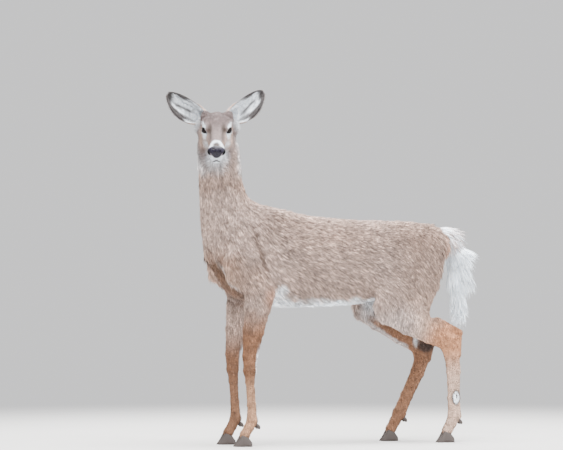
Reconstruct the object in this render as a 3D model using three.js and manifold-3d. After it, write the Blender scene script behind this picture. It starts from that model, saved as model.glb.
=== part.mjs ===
// A white-tailed deer doe in her winter coat, life size, standing with her head turned to her left.
// Millimetres, +Z up, hooves on Z = 0. Her body points along -X and her left side is -Y.
// The flesh is one smooth field of oval bones and muscles, parted by planes at the joints,
// and every solid reaches out to the tips of the coat.
import * as THREE from "three";
import { mergeVertices } from "three/addons/utils/BufferGeometryUtils.js";
import Module from "manifold-3d";

const wasm = await Module();
wasm.setup();

// ---- Driving dimensions -------------------------------------------------------------------

const GAP = 0.4; // clearance where two solids meet
const FAR_OUTSIDE = 1e4; // marks the rim of a box of cells
const HEAD_TURN = 22; // degrees that the face points forwards of straight sideways
const HEAD_DROP = 19.5; // degrees that the muzzle points below level
const HEAD_ORIGIN = [-8, 10, 1220]; // the back of the skull
const EYE_CENTRE = [118, 40, 24]; // in the head's own frame: forwards, left, up
const EYE_RADIUS = 16.5;
const NOSTRIL = [296, 21, -7];
const NOSTRIL_RADII = [13, 6.5, 8];
const EAR_LENGTH = 178;
const EAR_HALF_WIDTH = 46;
const EAR_SWAY = 12; // how far the leaf leans to its outer edge
const EAR_FOOT_WIDTH = 0.56; // share of the half-width at the foot
const EAR_WIDEST = 0.42; // share of the length
const EAR_TIP_POWER = 0.62; // how blunt the tip is
const EAR_ROLL = [2.3, 0.85]; // half the angle that the sheet is rolled through, at the foot and beyond
const EAR_ROLL_END = 0.55; // share of the length where the roll has opened
const EAR_THICKNESS = [7, 4]; // at the foot and the tip
const EAR_TIP_BEND = 10; // how far the tip bends to the open side
const EAR_FOOT = [22, 45, 31]; // in the head's own frame, like the eye
const HOOF_LENGTH = 66;
const HOOF_HEIGHT = 42;
const CLAW_HALF_WIDTH = 12;
const CLAW_SPREAD = 12.6; // from a foot's middle to the middle of a claw
const DEWCLAW_PLACE = [20, 11, -24]; // from the middle of the fetlock
const DEWCLAW_RADII = [7, 6, 12];
const DEWCLAW_LEAN = -35; // degrees
const HAIRLINE = 37; // height of the top of the hoof over the foot's middle
const HAIRLINE_SLOPE = [0.4, 0, 1];
const LEFT = -1;
const RIGHT = 1;

// Trunk sections: x, belly height, back height, half-width.
const TRUNK = [
  [-22, 668, 800, 58],
  [30, 588, 870, 88],
  [120, 540, 918, 106],
  [240, 524, 900, 122],
  [350, 523, 875, 139],
  [460, 524, 862, 147],
  [570, 533, 854, 145],
  [680, 562, 850, 134],
  [780, 612, 845, 120],
  [860, 668, 833, 98],
  [900, 706, 812, 72],
];

// Neck sections: z, front x, rear x, half-width.
const NECK = [
  [740, -50, 150, 72],
  [830, -76, 150, 84],
  [900, -81, 136, 78],
  [960, -83, 106, 71],
  [1020, -87, 89, 67],
  [1080, -91, 83, 64],
  [1140, -92, 74, 61],
  [1190, -82, 56, 52],
];

// Forelegs, the same on both sides: [x, distance from the middle, z], [half-width, half-depth].
const SHOULDER = [
  [[222, 58, 842], [30, 62]],
  [[32, 92, 688], [34, 58]],
];
const UPPER_ARM = [
  [[48, 92, 690], [34, 72]],
  [[142, 96, 590], [34, 62]],
];
const FORELEG = [
  [[128, 95, 590], [38, 64]],
  [[116, 93, 528], [36, 54]],
  [[101, 90, 440], [29, 44]],
  [[88, 88, 345], [23, 32]],
  [[87, 87, 288], [23.5, 26]],
  [[89, 86, 245], [17.5, 19.5]],
  [[95, 86, 160], [16.5, 18.5]],
  [[98, 86, 100], [21.5, 23]],
  [[84, 86, 72], [19.5, 19.5]],
  [[68, 86, 46], [22, 22]],
];

// Hind legs differ: she stands with the right one a little further forward.
const HIND_LEFT = [
  [[655, 103, 520], [44, 62]],
  [[735, 99, 470], [37, 56]],
  [[830, 95, 428], [29, 50]],
  [[902, 92, 392], [25, 42]],
  [[920, 91, 335], [22, 33]],
  [[927, 90, 270], [18.5, 29.5]],
  [[928, 90, 170], [17.5, 26]],
  [[931, 90, 103], [22.5, 28]],
  [[917, 90, 74], [20, 22]],
  [[901, 90, 46], [22.5, 23]],
];
const HIND_RIGHT = [
  [[645, 103, 525], [44, 62]],
  [[700, 99, 480], [38, 58]],
  [[790, 95, 418], [30, 50]],
  [[862, 92, 372], [25, 42]],
  [[873, 91, 318], [22, 33]],
  [[853, 90, 262], [18.5, 29.5]],
  [[808, 90, 174], [17.5, 26]],
  [[777, 90, 106], [22.5, 28]],
  [[759, 90, 76], [20, 22]],
  [[742, 90, 46], [22.5, 23]],
];
const HOCK_LEFT = [
  [[850, 94, 468], [14, 20]],
  [[950, 91, 422], [13, 16]],
  [[940, 91, 340], [15, 18]],
];
const HOCK_RIGHT = [
  [[822, 94, 462], [14, 20]],
  [[918, 91, 392], [13, 16]],
  [[894, 91, 318], [15, 18]],
];
const THIGH = [
  [[772, 74, 715], [54, 100]],
  [[690, 92, 590], [50, 92]],
  [[652, 103, 522], [44, 66]],
];
const BUTTOCK = [
  [[838, 62, 745], [48, 66]],
  [[806, 88, 620], [44, 62]],
  [[770, 96, 520], [36, 60]],
];

// Tail, hair and all, in the middle plane: [x, y, z], [half-width, half-depth].
const TAIL = [
  [[872, 0, 800], [26, 30]],
  [[940, 0, 784], [38, 44]],
  [[972, 0, 722], [46, 56]],
  [[980, 0, 650], [50, 62]],
  [[976, 0, 580], [44, 62]],
  [[992, 0, 520], [30, 40]],
  [[1006, 0, 478], [12, 14]],
];

// Head sections in the head's frame: distance from the back of the skull, underside, top, half-width.
const SKULL = [
  [-6, -46, 44, 36],
  [30, -52, 66, 53],
  [70, -48, 71, 60],
  [105, -42, 65, 60],
  [140, -38, 52, 46],
  [180, -36, 38, 37],
  [220, -34, 28, 32],
  [255, -32, 21, 31],
  [280, -26, 14, 29],
];
const JAW = [
  [42, -74, -10, 34],
  [80, -84, -10, 36],
  [130, -76, -14, 30],
  [180, -64, -18, 25],
  [225, -58, -20, 22],
  [258, -54, -26, 19],
];

// ---- Fields: each is a function of x, y, z that is negative inside --------------------------

const mix = THREE.MathUtils.lerp;
const clamp = THREE.MathUtils.clamp;
const vector = (numbers) => new THREE.Vector3(...numbers);

function ovalDistance(u, v, w, ru, rv, rw) {
  const nearness = Math.hypot(u / ru, v / rv, w / rw);
  const slope = Math.hypot(u / ru ** 2, v / rv ** 2, w / rw ** 2);
  return slope < 1e-9 ? -Math.min(ru, rv, rw) : (nearness * (nearness - 1)) / slope;
}

function smoothUnion(a, b, reach) {
  const h = Math.max(reach - Math.abs(a - b), 0) / reach;
  return Math.min(a, b) - (h * h * reach) / 4;
}

const smoothCut = (a, b, reach) => -smoothUnion(-a, b, reach);

// A tapered oval bar from a to b; each end has [half-width across the animal, half-depth].
function bar(a, b, endA, endB) {
  const from = vector(a);
  const along = vector(b).sub(from);
  const length = along.length();
  along.normalize();
  const across = new THREE.Vector3(0, 1, 0).addScaledVector(along, -along.y).normalize();
  const deep = new THREE.Vector3().crossVectors(along, across);
  const q = new THREE.Vector3();
  return (x, y, z) => {
    q.set(x, y, z).sub(from);
    const s = q.dot(along);
    const t = clamp(s / length, 0, 1);
    const wide = mix(endA[0], endB[0], t);
    const thick = mix(endA[1], endB[1], t);
    return ovalDistance(q.dot(across), q.dot(deep), s - t * length, wide, thick, Math.min(wide, thick));
  };
}

function chain(rows, reach, side = 1) {
  const placed = rows.map(([at, half]) => [[at[0], side * at[1], at[2]], half]);
  const bars = placed.slice(1).map(([at, half], i) => bar(placed[i][0], at, placed[i][1], half));
  return (x, y, z) => bars.reduce((d, f) => smoothUnion(d, f(x, y, z), reach), 1e3);
}

const blob = ([cx, cy, cz], [rx, ry, rz]) => (x, y, z) =>
  ovalDistance(x - cx, y - cy, z - cz, rx, ry, rz);

// A smooth curve through [t, value] pairs: cubic pieces with averaged slopes.
function curveThrough(ts, values) {
  const last = ts.length - 1;
  const slope = ts.map((_, i) => {
    const [lo, hi] = [Math.max(i - 1, 0), Math.min(i + 1, last)];
    return (values[hi] - values[lo]) / (ts[hi] - ts[lo]);
  });
  return (t) => {
    const held = clamp(t, ts[0], ts[last]);
    const i = clamp(ts.findIndex((v) => v >= held) - 1, 0, last - 1);
    const gap = ts[i + 1] - ts[i];
    const s = (held - ts[i]) / gap;
    return (
      values[i] * (2 * s ** 3 - 3 * s ** 2 + 1) +
      slope[i] * gap * (s ** 3 - 2 * s ** 2 + s) +
      values[i + 1] * (3 * s ** 2 - 2 * s ** 3) +
      slope[i + 1] * gap * (s ** 3 - s ** 2)
    );
  };
}

// A body of oval sections [at, low, high, half-width]: along is its long way, deep is low to high.
function loft(rows, endRadius) {
  const ts = rows.map((row) => row[0]);
  const [low, high, half] = [1, 2, 3].map((k) => curveThrough(ts, rows.map((row) => row[k])));
  return (along, side, deep) => {
    const t = clamp(along, ts[0], ts[ts.length - 1]);
    const middle = (low(t) + high(t)) / 2;
    const depth = (high(t) - low(t)) / 2;
    return ovalDistance(side, deep - middle, along - t, half(t), depth, endRadius);
  };
}

// ---- The head, in its own frame --------------------------------------------------------------

const turn = THREE.MathUtils.degToRad(HEAD_TURN);
const drop = THREE.MathUtils.degToRad(HEAD_DROP);
const FORWARD = new THREE.Vector3(
  -Math.sin(turn) * Math.cos(drop),
  -Math.cos(turn) * Math.cos(drop),
  -Math.sin(drop),
);
const HEAD_LEFT = new THREE.Vector3(0, 0, 1).cross(FORWARD).normalize();
const HEAD_UP = new THREE.Vector3().crossVectors(FORWARD, HEAD_LEFT);
const headMatrix = new THREE.Matrix4()
  .makeBasis(FORWARD, HEAD_LEFT, HEAD_UP)
  .setPosition(...HEAD_ORIGIN);
const onHead = (numbers) => vector(numbers).applyMatrix4(headMatrix);

const skull = loft(SKULL, 12);
const jaw = loft(JAW, 12);
const cheek = blob([92, 33, -32], [50, 27, 38]);
const brow = bar([92, 44, 46], [146, 37, 36], [14, 15], [10, 11]);
const earBase = blob([20, 43, 40], [25, 21, 25]);
const earRoot = blob([14, 60, -3], [24, 27, 31]);
const socket = blob([136, 64, 23], [18, 16, 15]);
const nostrilWing = blob([276, 17, -4], [18, 13, 16]);
const lip = bar([200, 20, -30], [268, 15, -30], [12, 9], [11, 9]);
const chin = blob([252, 0, -46], [20, 17, 13]);
const noseTip = blob([281, 0, -4], [17, 32, 23]);
const noseLobe = blob([283, 16, -6], [15, 16.5, 18]);
const nosePhiltrum = blob([288, 0, -22], [9, 11, 12]);

function nose(u, v, w) {
  const s = Math.abs(v);
  let d = smoothUnion(noseTip(u, v, w), noseLobe(u, s, w), 10);
  return smoothUnion(d, nosePhiltrum(u, v, w), 8);
}

function face(u, v, w) {
  const s = Math.abs(v);
  let d = smoothUnion(skull(u, v, w), jaw(u, v, w), 26);
  d = smoothUnion(d, cheek(u, s, w), 24);
  d = smoothUnion(d, earBase(u, s, w), 22);
  d = smoothUnion(d, earRoot(u, s, w), 20);
  d = smoothUnion(d, brow(u, s, w), 16);
  d = smoothUnion(d, nostrilWing(u, s, w), 12);
  d = smoothUnion(d, lip(u, s, w), 12);
  d = smoothUnion(d, chin(u, v, w), 12);
  return smoothCut(d, socket(u, s, w), 12);
}

const local = new THREE.Vector3();
const worldToHead = headMatrix.clone().invert();
function inHead(field) {
  return (x, y, z) => {
    local.set(x, y, z).applyMatrix4(worldToHead);
    return field(local.x, local.y, local.z);
  };
}

// ---- The body --------------------------------------------------------------------------------

const trunkLoft = loft(TRUNK, 22);
const neckLoft = loft(NECK, 30);
const trunk = (x, y, z) => trunkLoft(x, y, z);
const neck = (x, y, z) => neckLoft(z, y, x);
const headField = inHead(face);

const foreleg = {};
const hindleg = {};
for (const side of [LEFT, RIGHT]) {
  const shoulder = chain(SHOULDER, 8, side);
  const arm = chain(UPPER_ARM, 8, side);
  const lower = chain(FORELEG, 8, side);
  foreleg[side] = (x, y, z) =>
    smoothUnion(smoothUnion(shoulder(x, y, z), arm(x, y, z), 30), lower(x, y, z), 24);
  const thigh = chain(THIGH, 12, side);
  const buttock = chain(BUTTOCK, 12, side);
  const shank = chain(side === LEFT ? HIND_LEFT : HIND_RIGHT, 8, side);
  const hock = chain(side === LEFT ? HOCK_LEFT : HOCK_RIGHT, 6, side);
  hindleg[side] = (x, y, z) => {
    const upper = smoothUnion(thigh(x, y, z), buttock(x, y, z), 40);
    return smoothUnion(upper, smoothUnion(shank(x, y, z), hock(x, y, z), 14), 30);
  };
}

function flesh(x, y, z) {
  let d = smoothUnion(trunk(x, y, z), neck(x, y, z), 60);
  d = smoothUnion(d, headField(x, y, z), 30);
  for (const side of [LEFT, RIGHT]) {
    d = smoothUnion(d, foreleg[side](x, y, z), 36);
    d = smoothUnion(d, hindleg[side](x, y, z), 40);
  }
  return d;
}

// ---- From field to solid -----------------------------------------------------------------------

// Surface nets over a box of cells: one vertex in each cell that the surface crosses, pulled onto it.
function skinOf(field, low, high, cell) {
  const count = low.map((v, i) => Math.ceil((high[i] - v) / cell[i]) + 1);
  const at = (i, k) => low[k] + i * cell[k];
  const index = (i, j, k) => (k * count[1] + j) * count[0] + i;
  const value = new Float32Array(count[0] * count[1] * count[2]);
  for (let k = 0; k < count[2]; k++)
    for (let j = 0; j < count[1]; j++)
      for (let i = 0; i < count[0]; i++) {
        const edge = [i, j, k].some((n, a) => n === 0 || n === count[a] - 1);
        const d = field(at(i, 0), at(j, 1), at(k, 2));
        value[index(i, j, k)] = edge ? FAR_OUTSIDE + Math.abs(d) : d;
      }
  const corners = [0, 1, 2, 3, 4, 5, 6, 7].map((n) => [n & 1, (n >> 1) & 1, n >> 2]);
  fillPinchedCells(value, count, index, corners);
  const points = [];
  const vertexOf = new Map();
  for (let k = 0; k < count[2] - 1; k++)
    for (let j = 0; j < count[1] - 1; j++)
      for (let i = 0; i < count[0] - 1; i++) {
        const v = corners.map(([a, b, c]) => value[index(i + a, j + b, k + c)]);
        if (v.every((d) => d < 0) || v.every((d) => d >= 0)) continue;
        const sum = [0, 0, 0];
        let crossings = 0;
        for (let p = 0; p < 8; p++)
          for (const bit of [1, 2, 4]) {
            const q = p | bit;
            if (q === p || v[p] < 0 === v[q] < 0) continue;
            const t = v[p] / (v[p] - v[q]);
            corners[p].forEach((c, a) => (sum[a] += mix(c, corners[q][a], t)));
            crossings++;
          }
        vertexOf.set(index(i, j, k), points.length);
        points.push([i, j, k].map((n, a) => at(n + sum[a] / crossings, a)));
      }
  const faces = [];
  const step = [1, count[0], count[0] * count[1]];
  for (let k = 0; k < count[2] - 1; k++)
    for (let j = 0; j < count[1] - 1; j++)
      for (let i = 0; i < count[0] - 1; i++)
        for (let a = 0; a < 3; a++) {
          const here = index(i, j, k);
          const outward = value[here] < 0;
          if (outward === value[here + step[a]] < 0) continue;
          const [b, c] = [step[(a + 1) % 3], step[(a + 2) % 3]];
          const ring = [here - b - c, here - c, here, here - b].map((n) => vertexOf.get(n));
          if (!outward) ring.reverse();
          const span = (m, n) => Math.hypot(...points[ring[m]].map((q, d) => q - points[ring[n]][d]));
          const turned = span(0, 2) > span(1, 3) ? [1, 2, 3, 0] : [0, 1, 2, 3];
          const [e, f, g, h] = turned.map((n) => ring[n]);
          faces.push(e, f, g, e, g, h);
        }
  const free = (p) => p.every((c, a) => c > low[a] + 1.5 * cell[a] && c < high[a] - 1.5 * cell[a]);
  const most = Math.min(...cell) / 2;
  for (let round = 0; round < 5; round++) {
    evenOut(points, faces, free);
    for (const p of points) if (free(p)) pullOntoSurface(field, p, most);
  }
  return solidFrom(points.flat(), faces);
}

// Moves each free point half way to the middle of its neighbours.
function evenOut(points, faces, free) {
  const sums = points.map(() => [0, 0, 0, 0]);
  for (let f = 0; f < faces.length; f++) {
    const next = f % 3 === 2 ? f - 2 : f + 1;
    points[faces[next]].forEach((c, a) => (sums[faces[f]][a] += c));
    sums[faces[f]][3]++;
  }
  points.forEach((p, n) => {
    if (free(p)) p.forEach((c, a) => (p[a] = mix(c, sums[n][a] / sums[n][3], 0.5)));
  });
}

// Rings round a path, each point out to where the field ends, closed with a flat cap at both ends.
function tubeOf(field, route, sides, rings, reach) {
  const path = new THREE.CatmullRomCurve3(route.map(vector), false, "centripetal");
  const positions = [];
  for (let i = 0; i <= rings; i++) {
    const middle = path.getPointAt(i / rings);
    const along = path.getTangentAt(i / rings);
    const across = new THREE.Vector3(0, 1, 0).addScaledVector(along, -along.y).normalize();
    const deep = new THREE.Vector3().crossVectors(along, across);
    for (let j = 0; j < sides; j++) {
      const angle = (2 * Math.PI * j) / sides;
      const way = across.clone().multiplyScalar(Math.cos(angle)).addScaledVector(deep, Math.sin(angle));
      let r = 4;
      for (let step = 0; step < 24 && r < reach; step++)
        r += Math.max(-field(...middle.clone().addScaledVector(way, r)), 0.02);
      positions.push(...middle.clone().addScaledVector(way, Math.min(r, reach)));
    }
  }
  return ringsSolid(positions, sides);
}

// A closed solid from rings of points, turning right-handed about the way they follow each other.
function ringsSolid(positions, sides) {
  const count = positions.length / 3 / sides;
  const faces = [];
  for (let i = 0; i < count - 1; i++)
    for (let j = 0; j < sides; j++) {
      const [a, b] = [i * sides + j, i * sides + ((j + 1) % sides)];
      faces.push(a, b, b + sides, a, b + sides, a + sides);
    }
  const last = (count - 1) * sides;
  for (let j = 1; j < sides - 1; j++) faces.push(0, j + 1, j, last, last + j, last + j + 1);
  return solidFrom(positions, faces);
}

// Where the surface would pass twice through one cell, the nearest outside corner is taken in.
function fillPinchedCells(value, count, index, corners) {
  const joined = (mask) => {
    let reached = mask & -mask;
    const spread = (p) => [1, 2, 4].forEach((bit) => (reached |= mask & (1 << (p ^ bit))));
    for (let round = 0; round < 4; round++)
      for (let p = 0; p < 8; p++) {
        if ((reached >> p) & 1) spread(p);
      }
    return reached === mask;
  };
  for (let changed = true; changed; ) {
    changed = false;
    for (let k = 0; k < count[2] - 1; k++)
      for (let j = 0; j < count[1] - 1; j++)
        for (let i = 0; i < count[0] - 1; i++) {
          const ids = corners.map(([a, b, c]) => index(i + a, j + b, k + c));
          const mask = ids.reduce((m, id, p) => m | ((value[id] < 0) << p), 0);
          if (joined(mask) && joined(mask ^ 255)) continue;
          const nearest = (some) => some.reduce((a, b) => (Math.abs(value[b]) < Math.abs(value[a]) ? b : a));
          const free = ids.filter((id) => value[id] >= 0 && value[id] < FAR_OUTSIDE);
          if (free.length) value[nearest(free)] = -0.01;
          else value[nearest(ids.filter((id) => value[id] < 0))] = 0.01;
          changed = true;
        }
  }
}

function pullOntoSurface(field, p, most) {
  const probe = 0.5;
  for (let round = 0; round < 4; round++) {
    const d = field(...p);
    const slope = [0, 1, 2].map((a) => {
      const [back, front] = [[...p], [...p]];
      back[a] -= probe;
      front[a] += probe;
      return (field(...front) - field(...back)) / (2 * probe);
    });
    const steep = slope.reduce((s, v) => s + v * v, 1e-6);
    const move = clamp(d / steep, -most, most);
    slope.forEach((v, a) => (p[a] -= move * v));
  }
}

function solidFrom(positions, triangles) {
  return new wasm.Manifold(
    new wasm.Mesh({
      numProp: 3,
      vertProperties: new Float32Array(positions),
      triVerts: new Uint32Array(triangles),
    }),
  );
}

function solidOfGeometry(geometry, matrix) {
  const bare = geometry.clone().deleteAttribute("normal").deleteAttribute("uv").applyMatrix4(matrix);
  const merged = mergeVertices(bare, 1e-3);
  return solidFrom(merged.attributes.position.array, merged.index.array);
}

const opposite = (way) => way.map((v) => -v);

// Cuts a solid back from another, which is first swollen about its own middle by the clearance.
function clearOf(solid, other) {
  const { min, max } = other.boundingBox();
  const middle = min.map((v, i) => (v + max[i]) / 2);
  const factor = min.map((v, i) => 1 + (2 * GAP) / (max[i] - v));
  return solid.subtract(other.translate(opposite(middle)).scale(factor).translate(middle));
}

// Keeps what lies beyond a plane through a point, on the side that the normal points to.
function beyond(solid, point, normal) {
  const n = vector(normal).normalize();
  return solid.trimByPlane(n.toArray(), n.dot(vector(point)) + GAP / 2);
}

function material(color, roughness) {
  return new THREE.MeshStandardMaterial({ color, roughness, metalness: 0 });
}
const COAT = material(0xb3a295, 0.9);
const COAT_LEG = material(0xb58a68, 0.9);
const COAT_WHITE = material(0xe6e3df, 0.9);
const EAR_SKIN = material(0x8d7d74, 0.9);
const NOSE_SKIN = material(0x262229, 0.35);
const EYE_GLASS = material(0x0c0a0a, 0.05);
const HORN = material(0x2b2523, 0.5);

// Cuts leave slivers of the neighbouring flesh; the part is the largest piece.
function largestPiece(solid) {
  return solid.decompose().reduce((a, b) => (b.volume() > a.volume() ? b : a));
}

function nodeOf(name, solid, look) {
  const made = largestPiece(solid).getMesh();
  const geometry = new THREE.BufferGeometry()
    .setAttribute("position", new THREE.BufferAttribute(new Float32Array(made.vertProperties), 3))
    .setIndex(new THREE.BufferAttribute(new Uint32Array(made.triVerts), 1));
  geometry.computeVertexNormals();
  const mesh = new THREE.Mesh(geometry, look);
  mesh.name = name;
  return mesh;
}

// ---- Parting planes: a point and the way towards the far end of the part ---------------------------

const CUT = {
  foreleg: [[93, 0, 512], [-0.2, 0, -1]],
  hindleg: [[650, 0, 478], [0.4, 0, -1]],
  neck: [[35, 0, 845], [-0.63, 0, 0.78]],
};
const HEAD_CUT_POINT = [34, 0, -30]; // in the head's own frame
const HEAD_CUT_RISE = 0.95; // how much the way up counts against the way forwards
const headCutWay = FORWARD.clone().addScaledVector(HEAD_UP, HEAD_CUT_RISE);
const headCut = [onHead(HEAD_CUT_POINT).toArray(), headCutWay.toArray()];

// ---- Trunk, neck and head ---------------------------------------------------------------------------

function trunkSolid() {
  let s = skinOf(flesh, [-120, -190, 380], [1000, 190, 1040], [44, 41, 42]);
  s = beyond(s, CUT.foreleg[0], opposite(CUT.foreleg[1]));
  s = beyond(s, CUT.hindleg[0], opposite(CUT.hindleg[1]));
  return beyond(s, CUT.neck[0], opposite(CUT.neck[1]));
}

function neckSolid() {
  const s = skinOf(flesh, [-140, -140, 700], [230, 130, 1320], [33, 31, 33]);
  return beyond(beyond(s, ...CUT.neck), headCut[0], opposite(headCut[1]));
}

function headSolid() {
  const inFrame = (u, v, w) => {
    const p = local.set(u, v, w).applyMatrix4(headMatrix);
    return flesh(p.x, p.y, p.z);
  };
  const cell = [15.4, 14.6, 14.6];
  const s = skinOf(inFrame, [-40, -90, -130], [320, 90, 100], cell).transform(headMatrix.elements);
  return beyond(s, ...headCut);
}

// ---- Ears: a leaf-shaped sheet, rolled at its foot -----------------------------------------------------

function earSolid(side, tipWay, openWay) {
  const along = vector(tipWay).normalize();
  const open = vector(openWay).addScaledVector(along, -vector(openWay).dot(along)).normalize();
  const across = new THREE.Vector3().crossVectors(open, along);
  const foot = onHead([EAR_FOOT[0], -side * EAR_FOOT[1], EAR_FOOT[2]]);
  const [rows, columns] = [9, 6];
  const towardsTip = 1.5; // rows crowd where the tip rounds off
  const flare = (t) => mix(EAR_FOOT_WIDTH, 1, Math.sin((Math.PI / 2) * (t / EAR_WIDEST)));
  const leaf = (t) => Math.max(1 - ((t - EAR_WIDEST) / (1 - EAR_WIDEST)) ** 2, 0.0009) ** EAR_TIP_POWER;
  const halfWidth = (t) => EAR_HALF_WIDTH * (t < EAR_WIDEST ? flare(t) : leaf(t));
  const roll = (t) => mix(...EAR_ROLL, Math.min(t / EAR_ROLL_END, 1));
  const thickness = (t) => mix(...EAR_THICKNESS, t);
  const positions = [];
  for (const layer of [0, 1])
    for (let i = 0; i <= rows; i++)
      for (let j = 0; j <= columns; j++) {
        const t = 1 - (1 - i / rows) ** towardsTip;
        const angle = roll(t) * ((2 * j) / columns - 1);
        const radius = halfWidth(t) / Math.sin(Math.min(roll(t), Math.PI / 2));
        const inner = radius - layer * Math.min(thickness(t), radius * 0.8);
        const bend = EAR_TIP_BEND * t * t;
        const sway = side * EAR_SWAY * Math.sin(Math.PI * t);
        const p = foot
          .clone()
          .addScaledVector(along, t * EAR_LENGTH)
          .addScaledVector(across, inner * Math.sin(angle) + sway)
          .addScaledVector(open, radius * Math.cos(roll(t)) - inner * Math.cos(angle) + bend);
        positions.push(...p);
      }
  const wide = columns + 1;
  const id = (layer, i, j) => layer * (rows + 1) * wide + i * wide + j;
  const faces = [];
  const quad = (a, b, c, d) => faces.push(a, b, c, a, c, d);
  for (let i = 0; i < rows; i++)
    for (let j = 0; j < columns; j++) {
      quad(id(0, i, j), id(0, i, j + 1), id(0, i + 1, j + 1), id(0, i + 1, j));
      quad(id(1, i, j), id(1, i + 1, j), id(1, i + 1, j + 1), id(1, i, j + 1));
    }
  for (let i = 0; i < rows; i++) {
    quad(id(0, i, 0), id(0, i + 1, 0), id(1, i + 1, 0), id(1, i, 0));
    quad(id(0, i, columns), id(1, i, columns), id(1, i + 1, columns), id(0, i + 1, columns));
  }
  for (let j = 0; j < columns; j++) {
    quad(id(0, 0, j), id(1, 0, j), id(1, 0, j + 1), id(0, 0, j + 1));
    quad(id(0, rows, j), id(0, rows, j + 1), id(1, rows, j + 1), id(1, rows, j));
  }
  return solidFrom(positions, faces);
}

// ---- Feet ---------------------------------------------------------------------------------------------

// One claw of a hoof: flat underneath, its wall sloping up from the pointed toe to the hairline.
// Sections from the heel to the toe: share of the length, share of the height, share of the width.
const CLAW = [
  [0, 0.42, 0.62],
  [0.12, 0.66, 0.9],
  [0.3, 1.04, 1],
  [0.5, 1.3, 1],
  [0.62, 0.98, 0.94],
  [0.82, 0.45, 0.68],
  [1, 0.1, 0.16],
];
const CLAW_SIDES = 5;
const HEEL_BEHIND = 0.34; // share of the length that lies behind the coronet
const TOE_INWARD = 5; // how much the tip curves in, for a whole length beyond the middle
const WALL_POWER = 0.75; // below 1 makes the wall's section squarer

function clawSolid(coronet, side) {
  const heel = coronet[0] + HOOF_LENGTH * HEEL_BEHIND;
  const positions = [];
  for (const [t, tall, wide] of CLAW) {
    const half = CLAW_HALF_WIDTH * wide;
    const inward = side * Math.max(t - 0.5, 0) * TOE_INWARD;
    for (let j = 0; j <= CLAW_SIDES; j++) {
      const angle = (Math.PI * j) / CLAW_SIDES;
      const y = coronet[1] + side * CLAW_SPREAD - inward - half * Math.cos(angle);
      positions.push(heel - t * HOOF_LENGTH, y, HOOF_HEIGHT * tall * Math.sin(angle) ** WALL_POWER);
    }
  }
  const hairline = [[coronet[0], 0, HAIRLINE], HAIRLINE_SLOPE];
  return beyond(ringsSolid(positions, CLAW_SIDES + 1), hairline[0], opposite(hairline[1]));
}

function dewclawSolid(fetlock, side) {
  const place = vector([DEWCLAW_PLACE[0], side * DEWCLAW_PLACE[1], DEWCLAW_PLACE[2]]).add(vector(fetlock));
  const geometry = new THREE.SphereGeometry(1, 6, 5);
  const matrix = new THREE.Matrix4()
    .makeRotationY(THREE.MathUtils.degToRad(DEWCLAW_LEAN))
    .scale(vector(DEWCLAW_RADII))
    .setPosition(place);
  return solidOfGeometry(geometry, matrix);
}

function legNodes(name, side, rows, root, topCut) {
  const at = (n) => [rows[n][0][0], side * rows[n][0][1], rows[n][0][2]];
  const way = (n) => vector(at(n + 1)).sub(vector(at(n - 1))).toArray();
  const last = rows.length - 1;
  const knee = [at(4), way(4)];
  const fetlock = [at(last - 2), way(last - 2)];
  const sole = [at(last)[0] - 8, at(last)[1], 16];
  const route = rows.map((_, n) => at(n));
  const thigh = tubeOf(flesh, [[root[0], side * root[1], root[2]], ...route.slice(0, 6)], 10, 11, 130);
  const shin = tubeOf(flesh, route.slice(3, last), 8, 10, 60);
  const foot = tubeOf(flesh, [...route.slice(last - 3), sole], 10, 8, 40);
  const dewclaws = [LEFT, RIGHT].map((d) => dewclawSolid(at(last - 2), d));
  const hairline = [[at(last)[0], 0, HAIRLINE], HAIRLINE_SLOPE];
  let pastern = beyond(beyond(foot, ...fetlock), ...hairline);
  for (const claw of dewclaws) pastern = clearOf(pastern, claw);
  const parts = [
    nodeOf(`${name}_upper`, beyond(beyond(thigh, ...topCut), knee[0], opposite(knee[1])), COAT_LEG),
    nodeOf(`${name}_cannon`, beyond(beyond(shin, ...knee), fetlock[0], opposite(fetlock[1])), COAT_LEG),
    nodeOf(`${name}_pastern`, pastern, COAT_LEG),
  ];
  [LEFT, RIGHT].forEach((d, i) => {
    const which = d === LEFT ? "left" : "right";
    parts.push(nodeOf(`${name}_hoof_${which}`, clawSolid(at(last), d), HORN));
    parts.push(nodeOf(`${name}_dewclaw_${which}`, dewclaws[i], HORN));
  });
  return parts;
}

// ---- Assembly -----------------------------------------------------------------------------------------

const deer = new THREE.Group();

const eyes = [LEFT, RIGHT].map((side) => {
  const centre = onHead([EYE_CENTRE[0], -side * EYE_CENTRE[1], EYE_CENTRE[2]]);
  const ball = new THREE.SphereGeometry(EYE_RADIUS, 12, 8);
  return solidOfGeometry(ball, new THREE.Matrix4().setPosition(centre));
});
const NOSE_BOX = [[250, -44, -50], [318, 44, 34]];
const noseFilled = skinOf(nose, ...NOSE_BOX, [9.4, 9.2, 9]);
const nostrils = [LEFT, RIGHT].map((side) => {
  const hollow = new THREE.Matrix4().makeScale(...NOSTRIL_RADII);
  hollow.setPosition(NOSTRIL[0], -side * NOSTRIL[1], NOSTRIL[2]);
  return solidOfGeometry(new THREE.SphereGeometry(1, 8, 6), hollow);
});
const noseSolid = nostrils.reduce((s, hollow) => s.subtract(hollow), noseFilled);
const bareHead = headSolid();
const head = [noseFilled.transform(headMatrix.elements), ...eyes].reduce(clearOf, bareHead);
const trunkFlesh = trunkSolid();
const neckFlesh = neckSolid();

// A way as seen face to face with her: to the viewer's right, up, and towards the viewer.
const faceWay = new THREE.Vector3(-Math.sin(turn), -Math.cos(turn), 0);
const viewerRight = new THREE.Vector3(Math.cos(turn), -Math.sin(turn), 0);
const way = (right, up, towards) =>
  viewerRight.clone().multiplyScalar(right).addScaledVector(faceWay, towards).setZ(up).toArray();

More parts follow.
